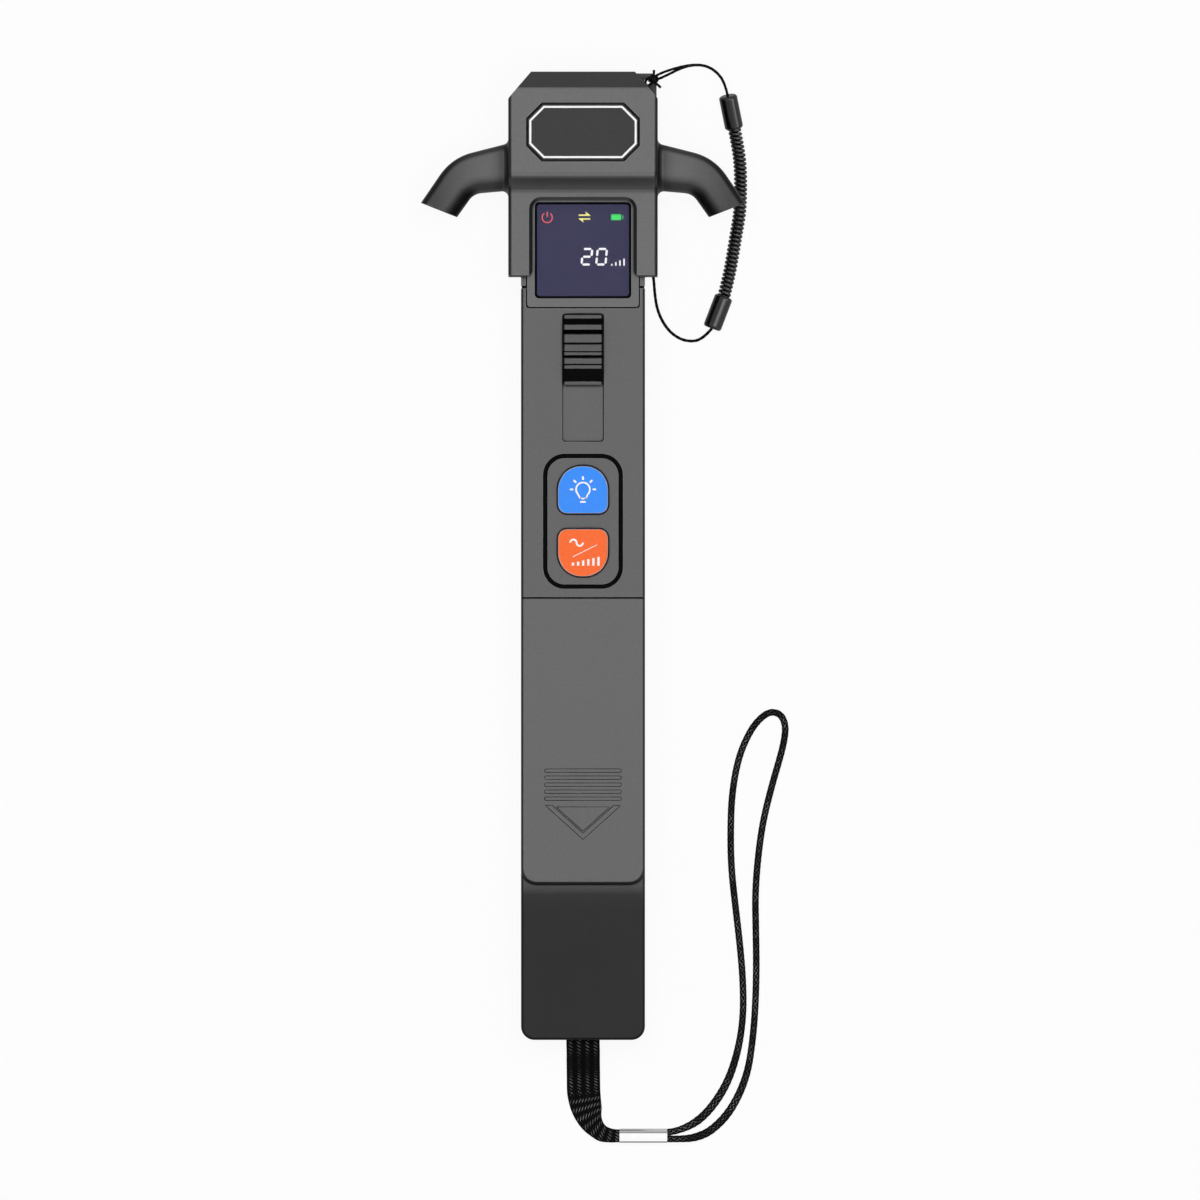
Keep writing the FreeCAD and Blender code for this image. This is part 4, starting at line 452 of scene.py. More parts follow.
def flat_bar(x, y, length, width, angle=0.0, corner=0.0, steps=2):
    """A flat bar in millimetres about its middle, turned by degrees, with its corners cut in steps."""
    bar = add_flat(bpy.ops.mesh.primitive_plane_add, size=1.0, location=(x * MM, y * MM, 0),
                   rotation=(0, 0, math.radians(angle)))
    bar.scale = (length * MM, width * MM, 1)
    end_edit()
    if corner:
        edit_all()
        bpy.ops.mesh.bevel(offset=corner * MM, affect="VERTICES", segments=steps)
        end_edit()
    return bar


def flat_arc(x, y, radius, width, start, end):
    """The stretch of a flat ring between two angles in degrees from +X."""
    ring = add_flat(bpy.ops.mesh.primitive_circle_add, vertices=48, radius=radius * MM, fill_type="NOTHING")
    bpy.ops.object.mode_set(mode="EDIT")
    bpy.ops.mesh.select_all(action="DESELECT")
    bpy.ops.object.mode_set(mode="OBJECT")
    for point in ring.data.vertices:
        angle = math.degrees(math.atan2(point.co.y, point.co.x)) % 360.0
        point.select = not any(start <= angle + whole <= end for whole in (-360.0, 0.0, 360.0))
    bpy.ops.object.mode_set(mode="EDIT")
    bpy.ops.mesh.delete(type="VERT")
    bpy.ops.mesh.select_all(action="SELECT")
    bpy.ops.mesh.extrude_edges_move()
    share = (radius - width) / radius
    bpy.ops.transform.resize(value=(share, share, 1), center_override=(0, 0, 0))
    bpy.ops.object.mode_set(mode="OBJECT")
    ring.location = (x * MM, y * MM, 0)
    return end_edit()


def flat_corners(*corners):
    """A flat shape with the corners given in millimetres, made from one filled ring of as many points."""
    shape = add_flat(bpy.ops.mesh.primitive_circle_add, vertices=len(corners), radius=1.0, fill_type="NGON")
    for point, (x, y) in zip(shape.data.vertices, corners):
        point.co = (x * MM, y * MM, 0)
    return shape


def level_bars(bars, x, pitch, foot, width, least, growth):
    """A row of upright bars that grow from the first, which stands at x."""
    row = []
    for count in range(bars):
        tall = least + growth * count
        row.append(flat_bar(x + pitch * count, foot + tall / 2, width, tall))
    return row


def join_up(name, pieces):
    """Joins pieces into the first of them, under a new name."""
    bpy.ops.object.select_all(action="DESELECT")
    for piece in pieces:
        piece.select_set(True)
    bpy.context.view_layer.objects.active = pieces[0]
    if len(pieces) > 1:
        bpy.ops.object.join()
    pieces[0].name = pieces[0].data.name = name
    return pieces[0]


MARK_RISE = 0.03


def raise_mark(name, shapes, height, material, body):
    """Joins flat shapes into one mark, gives it thickness and sets it on its face."""
    mark = join_up(name, shapes)
    edit_all()
    bpy.ops.mesh.remove_doubles(threshold=0.000002)
    bpy.ops.mesh.normals_make_consistent(inside=False)
    bpy.ops.mesh.select_all(action="SELECT")
    bpy.ops.mesh.extrude_region_move(TRANSFORM_OT_translate={"value": (0, 0, MARK_RISE * MM)})
    bpy.ops.mesh.select_all(action="SELECT")
    bpy.ops.mesh.normals_make_consistent(inside=False)
    bpy.ops.transform.translate(value=(0, 0, height * MM))
    bpy.ops.object.mode_set(mode="OBJECT")
    cover(mark, material)
    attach(mark, body)


def lit_colour(name, colour):
    """A lit sign, a little uneven."""
    material, tree, shader = new_material(name)
    glow = scale_colour(tree, colour, uneven(tree, 2500.0, 0.9, 1.08, 1.0))
    fill(tree, shader, {"Emission Color": glow, "Base Color": (0.01, 0.01, 0.01, 1),
                        "Emission Strength": 1.0})
    return material


SIGN_Y = 82.95
screen_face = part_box("display_module")[1].z / MM
POWER_X = -8.75
raise_mark("screen_power_sign", [
    flat_arc(POWER_X, SIGN_Y - 0.05, radius=1.36, width=0.25, start=124.0, end=416.0),
    flat_bar(POWER_X, SIGN_Y + 0.72, length=0.27, width=1.3),
], screen_face, lit_colour("power_red", (0.83, 0.100, 0.095)), "handle")
HARPOON = [(-1.4, 0.30), (1.45, 0.30), (1.45, 0.42), (0.2, 1.36), (0.42, 0.64), (-1.4, 0.64)]
ARROW_X, ARROW_Y = 0.37, SIGN_Y + 0.06
raise_mark("screen_exchange_sign", [
    flat_corners(*((ARROW_X + x, ARROW_Y + y) for x, y in HARPOON)),
    flat_corners(*((ARROW_X - x, ARROW_Y - y) for x, y in HARPOON)),
], screen_face, lit_colour("exchange_yellow", (0.95, 0.86, 0.22)), "handle")
CHARGE_X, CHARGE_END, CHARGE_Y = 8.10, 9.74, SIGN_Y + 0.02
raise_mark("screen_charge_sign", [
    flat_bar(CHARGE_X, CHARGE_Y, length=2.4, width=1.42),
    flat_bar(CHARGE_END, CHARGE_Y, length=0.18, width=0.9, corner=0.05),
], screen_face, lit_colour("charge_green", (0.024, 0.72, 0.110)), "handle")
DIGIT_WIDE, DIGIT_TALL, SEGMENT, LEAN = 2.25, 3.80, 0.54, 0.10
DIGIT_Y, UPRIGHT_GAP, LEVEL_GAP = 73.3, 0.42, 0.45
SEGMENTS = {"a": (0, 1, 0), "b": (0.5, 0.5, 1), "c": (0.5, -0.5, 1), "d": (0, -1, 0), "e": (-0.5, -0.5, 1),
            "f": (-0.5, 0.5, 1), "g": (0, 0, 0)}
lit = []
for middle, letters in ((0.95, "abged"), (4.55, "abcdef")):
    for letter in letters:
        across, up, upright = SEGMENTS[letter]
        x = middle + across * DIGIT_WIDE + up * DIGIT_TALL / 2 * LEAN
        y = DIGIT_Y + up * DIGIT_TALL / 2
        long = DIGIT_TALL / 2 - UPRIGHT_GAP if upright else DIGIT_WIDE - LEVEL_GAP
        angle = 90.0 - math.degrees(LEAN) if upright else 0.0
        lit.append(flat_bar(x, y, long, SEGMENT, angle, corner=0.2))
lit += level_bars(4, x=7.05, pitch=1.0, foot=71.1, width=0.36, least=0.45, growth=0.42)
raise_mark("screen_digits", lit, screen_face, lit_colour("segment_white", (0.95, 0.95, 0.97)), "handle")

# Keypad plate: the raised island inside the black seal, moulded in the shells' grained plastic. The two keys
# stand out of it.
finish_node(moulded_plastic("keypad_plastic", (0.126, 0.126, 0.127)), "keypad_plate")


# Light button and wavelength button: silicone keys moulded in bright colours, with a soft satin skin, which
# stand over their switches. Their rounded rims carry a painted grey reflection, a painted highlight line
# where the colour ends and painted shade on the steep sides. Each carries a white printed pictogram: a bulb
# on the blue key, and a wave over level bars on the orange.
def ramp(tree, value, stops):
    """A Color Ramp over a value, with its stops in order as places with a colour or a grey tone."""
    made = put(tree, "ShaderNodeValToRGB", {0: value})
    marks = made.color_ramp.elements
    stops = [(spot, (tone,) * 3 if isinstance(tone, float) else tone) for spot, tone in stops]
    marks[0].position, marks[1].position = stops[0][0], stops[-1][0]
    marks[0].color, marks[1].color = (*stops[0][1], 1), (*stops[-1][1], 1)
    for spot, tone in stops[1:-1]:
        marks.new(spot).color = (*tone, 1)
    return made.outputs["Color"]


def key_silicone(name, colour, rim):
    """Satin silicone; its rounded rim carries a painted grey reflection, a painted highlight line where the
    colour ends, and painted shade on its steep sides.
    """
    material, tree, shader = new_material(name)
    # Painted shade, painted reflection and a painted highlight line, banded by how far the face tilts.
    painted_shade_band, painted_highlight_line = (tuple(part * share for part in rim) for share in (0.45, 3.6))
    bands = ramp(tree, split(tree, "Normal")["Z"],
                 ((0.60, painted_shade_band), (0.70, rim), (0.80, painted_highlight_line), (0.965, painted_highlight_line), (0.985, colour)))
    values = {"Colour": bands, "Slope Shade": 1.0, "Crease Shade": 0.25, "Lumps": 4200.0, "Rough": 0.42}
    dress(tree, shader, moulded_grain_and_shade, values, depth=0.000008)
    fill(tree, shader, {"Specular IOR Level": 0.2})
    return material


finish_node(key_silicone("blue_silicone", (0.026, 0.268, 0.990), (0.16, 0.15, 0.14)), "light_button")
finish_node(key_silicone("orange_silicone", (0.990, 0.142, 0.016), (0.14, 0.155, 0.16)), "wavelength_button")
INK_THIN, INK_FULL = (0.90, 0.90, 0.90, 1), (0.99, 0.99, 0.99, 1)
print_white, tree, shader = new_material("print_white")
ink = blend_colours(tree, noise(tree, coordinate(tree), 1800.0, 3.0), INK_THIN, INK_FULL)
fill(tree, shader, {"Base Color": ink, "Roughness": uneven(tree, 900.0, 0.45, 0.65)})
STROKE, BULB_Y, RAY_OUT, RAY_LONG, RAY_WIDE = 0.42, 16.3, 2.78, 0.9, 0.46
bulb = [flat_arc(0.0, BULB_Y, radius=1.9, width=STROKE, start=-46.0, end=226.0),
        flat_bar(0.0, BULB_Y - 2.26, 1.56, STROKE), flat_bar(0.0, BULB_Y - 3.06, 1.42, STROKE, corner=0.12)]
for side in (-1, 1):
    bulb.append(flat_corners((side * 1.32, BULB_Y - 1.37), (side * 0.78, BULB_Y - 2.47),
                             (side * 0.36, BULB_Y - 2.47), (side * 1.03, BULB_Y - 1.06)))
for angle in (0, 45, 90, 135, 180):
    turn = math.radians(angle)
    bulb.append(flat_bar(RAY_OUT * math.cos(turn), BULB_Y + RAY_OUT * math.sin(turn), RAY_LONG, RAY_WIDE,
                         angle, corner=0.14))
raise_mark("light_button_mark", bulb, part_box("light_button")[1].z / MM, print_white, "light_button")
WAVE_Y, WAVE, WAVE_STROKE = 3.25, 1.0, 0.45
wave = [flat_arc(-2.35, WAVE_Y, WAVE, WAVE_STROKE, start=0.0, end=180.0),
        flat_arc(-0.80, WAVE_Y, WAVE, WAVE_STROKE, start=180.0, end=360.0),
        flat_bar(0.46, 1.26, length=6.6, width=0.15, angle=26.3)]
wave += level_bars(6, x=-2.45, pitch=1.25, foot=-2.35, width=0.56, least=0.70, growth=0.28)
key_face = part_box("wavelength_button")[1].z / MM
raise_mark("wavelength_button_mark", wave, key_face, print_white, "wavelength_button")

# Thumb slider, its carriage and the plunger: three plastic mouldings. The slider is ridged for the thumb, the
# carriage runs inside the front shell, and the plunger bends the fibre against the jaw.
THUMB_SIDE = 4.4 * MM
# Painted shade: the ridges' slopes are painted near black.
thumb_plastic = moulded_plastic("thumb_plastic", (0.122, 0.122, 0.123), slope_shade=0.015, shine=0.03, end_rim_shade=0.0)
tree = finish_node(thumb_plastic, "thumb_slider")
place = split(tree)
outward = math_node(tree, "ABSOLUTE", place["X"])
thumb_low, thumb_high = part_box("thumb_slider")
# Its sides and upper end are painted near black along the joint round it, and its lower end dark grey.
retone(tree, times(tree, spread(tree, outward, 1.0, 0.03, THUMB_SIDE, THUMB_SIDE + 0.2 * MM),
                   spread(tree, place["Y"], 1.0, 0.03, thumb_high.y - 0.45 * MM, thumb_high.y - 0.3 * MM),
                   spread(tree, place["Y"], 0.2, 1.0, thumb_low.y + 0.2 * MM, thumb_low.y + 0.35 * MM)))
finish_node(moulded_plastic("plunger_plastic", (0.016, 0.016, 0.017), slope_shade=1.0, rough=0.42, shine=0.4),
            "slide_carriage", "plunger")


# Return spring: steel spring wire wound round the plunger rod, with closed ends, and pressed together between
# the bulkhead and the plunger.
def limited(value):
    """A value kept from 0 to 1."""
    return min(1.0, max(0.0, value))


def new_piece(name, rings, material, yarns=None):
    """A closed smooth piece through rings of points, which may keep its yarns' heights as an attribute."""
    sides, last = len(rings[0]), len(rings[0]) * (len(rings) - 1)
    faces = []
    for start in range(0, last, sides):
        for number in range(sides):
            this, following = start + number, start + (number + 1) % sides
            faces.append((this, following, following + sides, this + sides))
    faces += [tuple(reversed(range(sides))), tuple(range(last, last + sides))]
    mesh = bpy.data.meshes.new(name)
    mesh.from_pydata([spot for ring in rings for spot in ring], [], faces)
    if yarns:
        mesh.attributes.new("yarn", "FLOAT", "POINT").data.foreach_set("value", yarns)
    mesh.polygons.foreach_set("use_smooth", [True] * len(mesh.polygons))
    mesh.materials.append(material)
    piece = bpy.data.objects.new(name, mesh)
    bpy.context.scene.collection.objects.link(piece)
    return piece


def way_at(line, count):
    """Which way a line of points runs at one of them."""
    return (line[min(count + 1, len(line) - 1)] - line[max(count - 1, 0)]).normalized()


def tube_along(name, line, radius, sides, material, shape=None):
    """A round tube along a line of points, with closed ends. shape(angle, distance) may give each spot its
    share of the radius and the height of its yarn."""
    rings, yarns = [], []
    side, travelled = None, 0.0
    for count, spot in enumerate(line):
        way = way_at(line, count)
        if side is None:
            side = way.cross(Vector((0, 0, 1)) if abs(way.z) < 0.9 else Vector((1, 0, 0)))
        side = (side - way * side.dot(way)).normalized()
        up = way.cross(side)
        travelled += (spot - line[max(count - 1, 0)]).length
        rings.append([])
        for number in range(sides):
            angle = math.tau * number / sides
            share, yarn = shape(angle, travelled) if shape else (1.0, 0.0)
            rings[-1].append(spot + (side * math.cos(angle) + up * math.sin(angle)) * radius * share)
            yarns.append(yarn)
    return new_piece(name, rings, material, yarns if shape else None)


SPRING_TURNS, SPRING_POINTS, SPRING_SIDES, SPRING_WIRE, SPRING_CLOSED = 9, 20, 8, 0.7, 0.08
spring_low, spring_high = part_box("return_spring")
spring_middle = (spring_low + spring_high) / 2
spring_radius = (spring_high.x - spring_low.x) / 2 - SPRING_WIRE * MM / 2
spring_start, spring_end = spring_low.y + SPRING_WIRE * MM / 2, spring_high.y - SPRING_WIRE * MM / 2
spring_line = []
for count in range(SPRING_TURNS * SPRING_POINTS + 1):
    turn = math.tau * count / SPRING_POINTS
    share = count / (SPRING_TURNS * SPRING_POINTS)
    share = limited(share * (1 + 2 * SPRING_CLOSED) - SPRING_CLOSED)
    spring_line.append(Vector((spring_middle.x + spring_radius * math.cos(turn),
                               spring_start + (spring_end - spring_start) * share,
                               spring_middle.z + spring_radius * math.sin(turn))))
spring = tube_along("spring_winding", spring_line, SPRING_WIRE * MM / 2, SPRING_SIDES, turned_steel)
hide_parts("return_spring")
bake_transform(spring)

# Hood: the light-shield cap over the head, moulded in one with its two curved arms and the eyelet tab. Its
# colour carries painted light and shade: the slopes, the arms' undersides and the notch are painted darker
# than the front, the arms darker towards their ends, and faces beside close walls darker; across the step
# the foot is painted in shade, the slope lighter and the brow with a painted highlight.
ARM_ROOT, ARM_END, HOOD_SIDE = 22.5 * MM, 36 * MM, 18.0 * MM
STEP_FOOT, STEP_BROW, STEP_RISE = 88.6 * MM, 94.2 * MM, 22.1 * MM
# Painted shade and highlight across the step, as places from foot to brow and shares of the colour.
STEP_SHADE_AND_HIGHLIGHT = ((0.1, 0.8), (0.35, 1.75), (0.62, 1.0), (0.7, 1.25), (0.78, 2.2), (0.9, 1.0))
TONE_ROOM = 2.0  # a ramp's stops end at 1, so the tones are held in it as shares of this
hood_plastic = moulded_plastic("hood_plastic", (0.150, 0.150, 0.151), slope_shade=0.32, shelter_shade=0.35, end_rim_shade=0.0)
tree = finish_node(hood_plastic, "hood")
place = split(tree)
outward = math_node(tree, "ABSOLUTE", place["X"])
# Painted shade: the arms are darker towards their ends.
retone(tree, spread(tree, outward, 1.0, 0.36, ARM_ROOT, ARM_END))
# Painted light and shade across the step, from shade at its foot to a highlight at its brow.
step_shade_and_highlight = ramp(tree, spread(tree, place["Y"], 0.0, 1.0, STEP_FOOT, STEP_BROW),
             [(share, tone / TONE_ROOM) for share, tone in ((0.0, 1.0), *STEP_SHADE_AND_HIGHLIGHT, (1.0, 1.0))])
on_step = times(tree, spread(tree, outward, 1.0, 0.0, HOOD_SIDE - 0.4 * MM, HOOD_SIDE),
                spread(tree, place["Z"], 0.0, 1.0, STEP_RISE - 0.5 * MM, STEP_RISE))
retone(tree, blend_numbers(tree, on_step, 1.0, times(tree, step_shade_and_highlight, TONE_ROOM)))

# Octagonal plate in the hood: a dark printed film with a white border line, cut to shape and stuck into the
# recess in the hood's front.
LINE_WIDE, LINE_TALL, LINE_CUT, LINE = 26.3, 12.8, 3.5, 0.5
plate_film = moulded_plastic("plate_film", (0.034, 0.034, 0.035), slope_shade=1.0, lumps=3600.0, wear_and_highlight=0.0)
finish_node(plate_film, "hood_plate")
plate_low, plate_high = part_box("hood_plate")
plate_middle = (plate_low + plate_high) / 2 / MM
border = flat_bar(plate_middle.x, plate_middle.y, LINE_WIDE, LINE_TALL, corner=LINE_CUT, steps=1)
edit_all()
bpy.ops.mesh.inset(thickness=LINE * MM, depth=0)
bpy.ops.mesh.delete(type="ONLY_FACE")
bpy.ops.object.mode_set(mode="OBJECT")
raise_mark("hood_plate_line", [border], plate_high.z / MM, print_white, "hood")


# Strings of the tether: black braided nylon. The upper one is doubled through the eyelet of the hood and
# knotted there, and the lower one runs to the lug of the head frame. The ferrules hold their other ends.
def cord_line(stops, step):
    """The smooth line of a cord, from its route's points in millimetres, as points a step apart."""
    curve = bpy.data.curves.new("route", "CURVE")
    curve.dimensions = "3D"
    spline = curve.splines.new("NURBS")
    spline.points.add(len(stops) - 1)
    for point, stop in zip(spline.points, stops):
        point.co = (stop[0] * MM, stop[1] * MM, stop[2] * MM, 1)
    spline.order_u = 3
    spline.use_endpoint_u = True
    spline.resolution_u = 24
    route = bpy.data.objects.new("route", curve)
    bpy.context.scene.collection.objects.link(route)
    bpy.context.view_layer.update()
    mesh = bpy.data.meshes.new_from_object(route)
    line = [point.co.copy() for point in mesh.vertices]
    bpy.data.meshes.remove(mesh)
    bpy.data.objects.remove(route)
    far = [0.0]
    for before, after in zip(line, line[1:]):
        far.append(far[-1] + (after - before).length)
    count = max(2, round(far[-1] / step))
    spaced, place = [], 0
    for number in range(count + 1):
        wanted = far[-1] * number / count
        while place < len(far) - 2 and far[place + 1] < wanted:
            place += 1
        share = (wanted - far[place]) / max(1e-12, far[place + 1] - far[place])
        spaced.append(line[place].lerp(line[place + 1], min(1.0, share)))
    return spaced


def length_of(line):
    """The length of a line of points."""
    return sum((after - before).length for before, after in zip(line, line[1:]))


def make_thread_sheen_flecks():
    """Woven thread seen close: dark between the yarns, with paler flecks of painted sheen here and there on
    the yarn tops that face up.
    """
    group, given, out = new_group(
        "thread_sheen_flecks", {"Colour": (COLOUR, (0.01, 0.01, 0.01, 1)), "Fleck Sheen": (COLOUR, (0.1, 0.1, 0.1, 1)),
                          "Patches": (NUMBER, 260.0), "Least": (NUMBER, 0.25)}, SURFACE)
    yarn = put(group, "ShaderNodeAttribute", attribute_name="yarn").outputs["Fac"]
    where = coordinate(group)
    patches = spread(group, noise(group, where, given["Patches"], 3.0, 0.6), 0.0, 1.0, 0.4, 0.6)
    fibres = noise(group, where, 9000.0)
    # Painted sheen: the flecks show only on yarn tops that face up.
    shown = times(group, blend_numbers(group, patches, given["Least"], 1.0),
                  spread(group, yarn, 0.0, 1.0, 0.6, 0.9), spread(group, fibres, 0.6, 1.0, 0.3, 0.6),
                  spread(group, split(group, "Normal")["Z"], 0.0, 1.0, 0.7, 0.95))
    fill(group, out, {"Colour": blend_colours(group, shown, given["Colour"], given["Fleck Sheen"]),
                      "Roughness": spread(group, yarn, 0.9, 0.6), "Height": fibres})
    return group


thread_sheen_flecks = make_thread_sheen_flecks()


def woven_nylon(name, colour, fleck_sheen, patches=260.0, least=0.25):
    """Black woven nylon with paler flecks of painted sheen."""
    material, tree, shader = new_material(name)
    values = {"Colour": (*colour, 1), "Fleck Sheen": (*fleck_sheen, 1), "Patches": patches, "Least": least}
    dress(tree, shader, thread_sheen_flecks, values, depth=0.00002, strength=0.6)
    fill(tree, shader, {"Specular IOR Level": 0.04})
    return material


# Its faint flecks are painted sheen.
string_nylon = woven_nylon("string_nylon", (0.003, 0.003, 0.0032), (0.022, 0.022, 0.022))
STRING, LOWER_THICK, TWIST, PLY_DEPTH = 0.66, 0.76, 1.6, 0.08
STRING_STEP, STRING_SIDES, KNOT_STEP, KNOT_SIDES = 0.15 * MM, 10, 0.12 * MM, 12


def string_twist(angle, distance):
    """The two plies of the string, laid with a twist."""
    ply = 0.5 + 0.5 * math.cos(2 * angle - distance * math.tau / (TWIST * MM))
    return 1 - PLY_DEPTH + PLY_DEPTH * ply, ply


UPPER_STRING = [
    (35.50, 112.86, 4.65), (34.75, 116.15, 4.80), (32.80, 118.80, 4.90), (30.10, 120.35, 5.10),
    (26.90, 120.52, 5.50), (23.84, 119.95, 6.20), (20.80, 119.05, 7.00), (18.30, 118.05, 7.36),
    (16.30, 116.65, 7.36), (16.20, 116.45, 3.04), (18.40, 116.95, 2.90), (20.90, 118.10, 3.00),
    (23.90, 119.62, 3.80), (26.90, 120.45, 4.60), (30.05, 120.30, 4.45), (32.75, 118.76, 4.25),
    (34.73, 116.12, 4.15), (35.48, 112.95, 3.95)]
LOWER_STRING = [
    (31.58, 55.81, 2.30), (29.17, 52.94, 1.38), (25.31, 52.62, 0.45), (21.95, 54.32, 0.70),
    (19.64, 57.14, 3.01), (18.17, 60.53, 5.36), (17.59, 64.19, 8.12), (17.36, 67.70, 10.25),
    (16.86, 71.20, 11.00)]
KNOT = [
    (17.35, 119.15, 6.90), (17.45, 118.40, 7.00), (17.15, 117.50, 7.30), (17.00, 116.60, 7.70),
    (17.70, 116.10, 7.90), (18.35, 116.60, 7.60), (18.20, 117.40, 7.20), (17.40, 117.70, 7.00),
    (16.90, 117.10, 7.20), (17.30, 116.40, 7.00), (18.20, 115.70, 6.90), (19.05, 114.85, 6.75)]
EYELET_TURN = [
    (17.40, 117.00, 7.10), (16.40, 117.30, 7.20), (15.50, 116.80, 7.10), (15.20, 115.90, 6.95),
    (15.70, 115.30, 6.90), (16.30, 115.50, 6.95), (17.20, 116.40, 7.10)]
upper_line = cord_line(UPPER_STRING, STRING_STEP)
upper_string = tube_along("tether_string_upper", upper_line, STRING * MM / 2, STRING_SIDES, string_nylon,
                          string_twist)
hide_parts("tether_upper_string")
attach(upper_string, "hood")
lower_line = cord_line(LOWER_STRING, STRING_STEP)
lower_string = tube_along("tether_string_lower", lower_line, LOWER_THICK * MM / 2, STRING_SIDES, string_nylon,
                          string_twist)
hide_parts("tether_lower_string")
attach(lower_string, "handle")
string_knot = join_up("tether_string_knot", [
    tube_along("turn", cord_line(route, KNOT_STEP), STRING * MM / 2, KNOT_SIDES, string_nylon, string_twist)
    for route in (KNOT, EYELET_TURN)])
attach(string_knot, "hood")

# Ferrules and coil of the tether: glossy black plastic. The ferrules are moulded over the strings' ends,
# and the coil between them is wound from plastic wire. It draws out as the hood comes off.
TETHER_SKIN = {"colour": (0.004, 0.004, 0.0043), "slope_shade": 1.0, "lumps": 3000.0, "depth": 0.000006,
               "wear_and_highlight": 0.0}
finish_node(moulded_plastic("tether_plastic", rough=0.34, shine=0.12, coat=0.5, **TETHER_SKIN),
            "tether_upper_ferrule", "tether_lower_ferrule")
coil_plastic = moulded_plastic("coil_plastic", rough=0.3, shine=0.08, coat=0.9, **TETHER_SKIN)
COIL_WIRE, COIL_OUTER, COIL_PITCH, COIL_POINTS, COIL_SIDES = 0.92, 3.34, 1.04, 18, 8
COIL = [
    (34.44, 63.28, 2.30), (35.84, 68.77, 1.78), (36.73, 73.86, 1.67), (37.58, 79.02, 1.67),
    (38.47, 84.16, 1.67), (38.66, 89.31, 1.67), (38.64, 94.53, 1.67), (38.17, 99.66, 1.80),
    (37.02, 105.31, 2.39)]
coil_core = cord_line(COIL, COIL_PITCH / COIL_POINTS * MM)
coil_radius = (COIL_OUTER - COIL_WIRE) / 2 * MM
coil_line = []
for count, spot in enumerate(coil_core):
    way = way_at(coil_core, count)
    side = way.cross(Vector((0, 0, 1))).normalized()
    turn = math.tau * count / COIL_POINTS
    coil_line.append(spot + (side * math.cos(turn) + side.cross(way) * math.sin(turn)) * coil_radius)
coil = tube_along("tether_coil_wire", coil_line, COIL_WIRE * MM / 2, COIL_SIDES, coil_plastic)
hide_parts("tether_coil")
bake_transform(coil)

# Wrist loop: a cord braided from black nylon, with paler flecks of painted sheen. Its two ends lie side by
# side in the crimp of the wrist band, and it is pressed a little flat near there.
loop_nylon = woven_nylon("loop_nylon", (0.0020, 0.0020, 0.0022), (0.210, 0.210, 0.212), 240.0, 0.2)
LOOP, LOOP_STEP, LOOP_SIDES, BRAID_STRANDS, BRAID_LAY, BRAID_DEPTH = 1.7, 0.16 * MM, 24, 6, 9.0, 0.06
PRESSED_FROM, PRESSED_RISE, PRESSED_TO, PRESSED_FALL = 3, 5, 34, 18
PRESSED_WIDER, PRESSED_FLATTER = 0.22, 0.06
WRIST_LOOP = [
    (20.65, -141.36, 1.50), (23.60, -141.10, 1.30), (29.55, -137.87, 0.90), (35.07, -130.32, 0.90),
    (38.03, -121.69, 0.90), (39.37, -112.78, 0.90), (39.22, -103.48, 0.90), (38.41, -94.51, 0.90),
    (37.34, -85.55, 0.90), (36.34, -76.35, 0.90), (36.18, -67.35, 0.90), (36.51, -58.30, 0.90),
    (38.10, -49.44, 0.90), (40.80, -43.20, 0.90), (43.32, -39.88, 0.90), (45.95, -38.10, 0.90),
    (48.55, -38.76, 0.90), (49.75, -41.56, 0.90), (49.40, -45.16, 0.90), (48.33, -49.50, 0.90),
    (46.36, -56.17, 0.90), (44.15, -64.99, 0.90), (42.93, -73.72, 0.90), (42.23, -82.81, 0.90),
    (42.40, -91.63, 0.90), (42.55, -100.69, 0.90), (42.33, -109.81, 0.90), (41.68, -118.55, 0.90),
    (40.26, -127.68, 0.90), (36.45, -135.92, 0.90), (31.66, -140.95, 0.90), (27.60, -142.72, 0.90),
    (23.60, -143.05, 1.30), (20.65, -142.98, 1.50)]
loop_line = cord_line(WRIST_LOOP, LOOP_STEP)
loop_length = length_of(loop_line)


def loop_braid(angle, distance):
    """Braid of two sets of strands that pass over and under each other, pressed flatter towards the crimp."""
    drift = distance * math.tau / (BRAID_LAY * MM)
    right = BRAID_STRANDS * (angle - drift) / math.tau
    left = BRAID_STRANDS * (angle + drift) / math.tau
    top = right if (math.floor(right) + math.floor(left)) % 2 == 0 else left
    yarn = math.sin(math.pi * (top - math.floor(top)))
    near = min(distance, loop_length - distance) / MM
    pressed = limited((near - PRESSED_FROM) / PRESSED_RISE) * limited((PRESSED_TO - near) / PRESSED_FALL)
    oval = math.hypot((1 + PRESSED_WIDER * pressed) * math.cos(angle),
                      (1 - PRESSED_FLATTER * pressed) * math.sin(angle))
    return (1 - BRAID_DEPTH + BRAID_DEPTH * yarn) * oval, yarn ** 2


loop = tube_along("wrist_loop_cord", loop_line, LOOP * MM / 2, LOOP_SIDES, loop_nylon, loop_braid)
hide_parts("wrist_loop")
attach(loop, "handle")

# Crimp of the wrist strap: a sleeve of bright plated sheet metal, pressed together over the gathered band and
# the ends of the loop. Its colour holds painted reflection: bright across its polished front, with painted
# shade at the lower edge and greyer on the fold.
CRIMP_LOW, CRIMP_HIGH = -143.95 * MM, -140.5 * MM
CRIMP_SHEEN = ((0.0, 0.01), (0.08, 0.02), (0.12, 0.95), (0.66, 0.95), (0.70, 0.34), (0.80, 0.30),
               (1.0, (0.62, 0.62, 0.63)))
crimp_metal, tree, shader = new_material("crimp_metal")
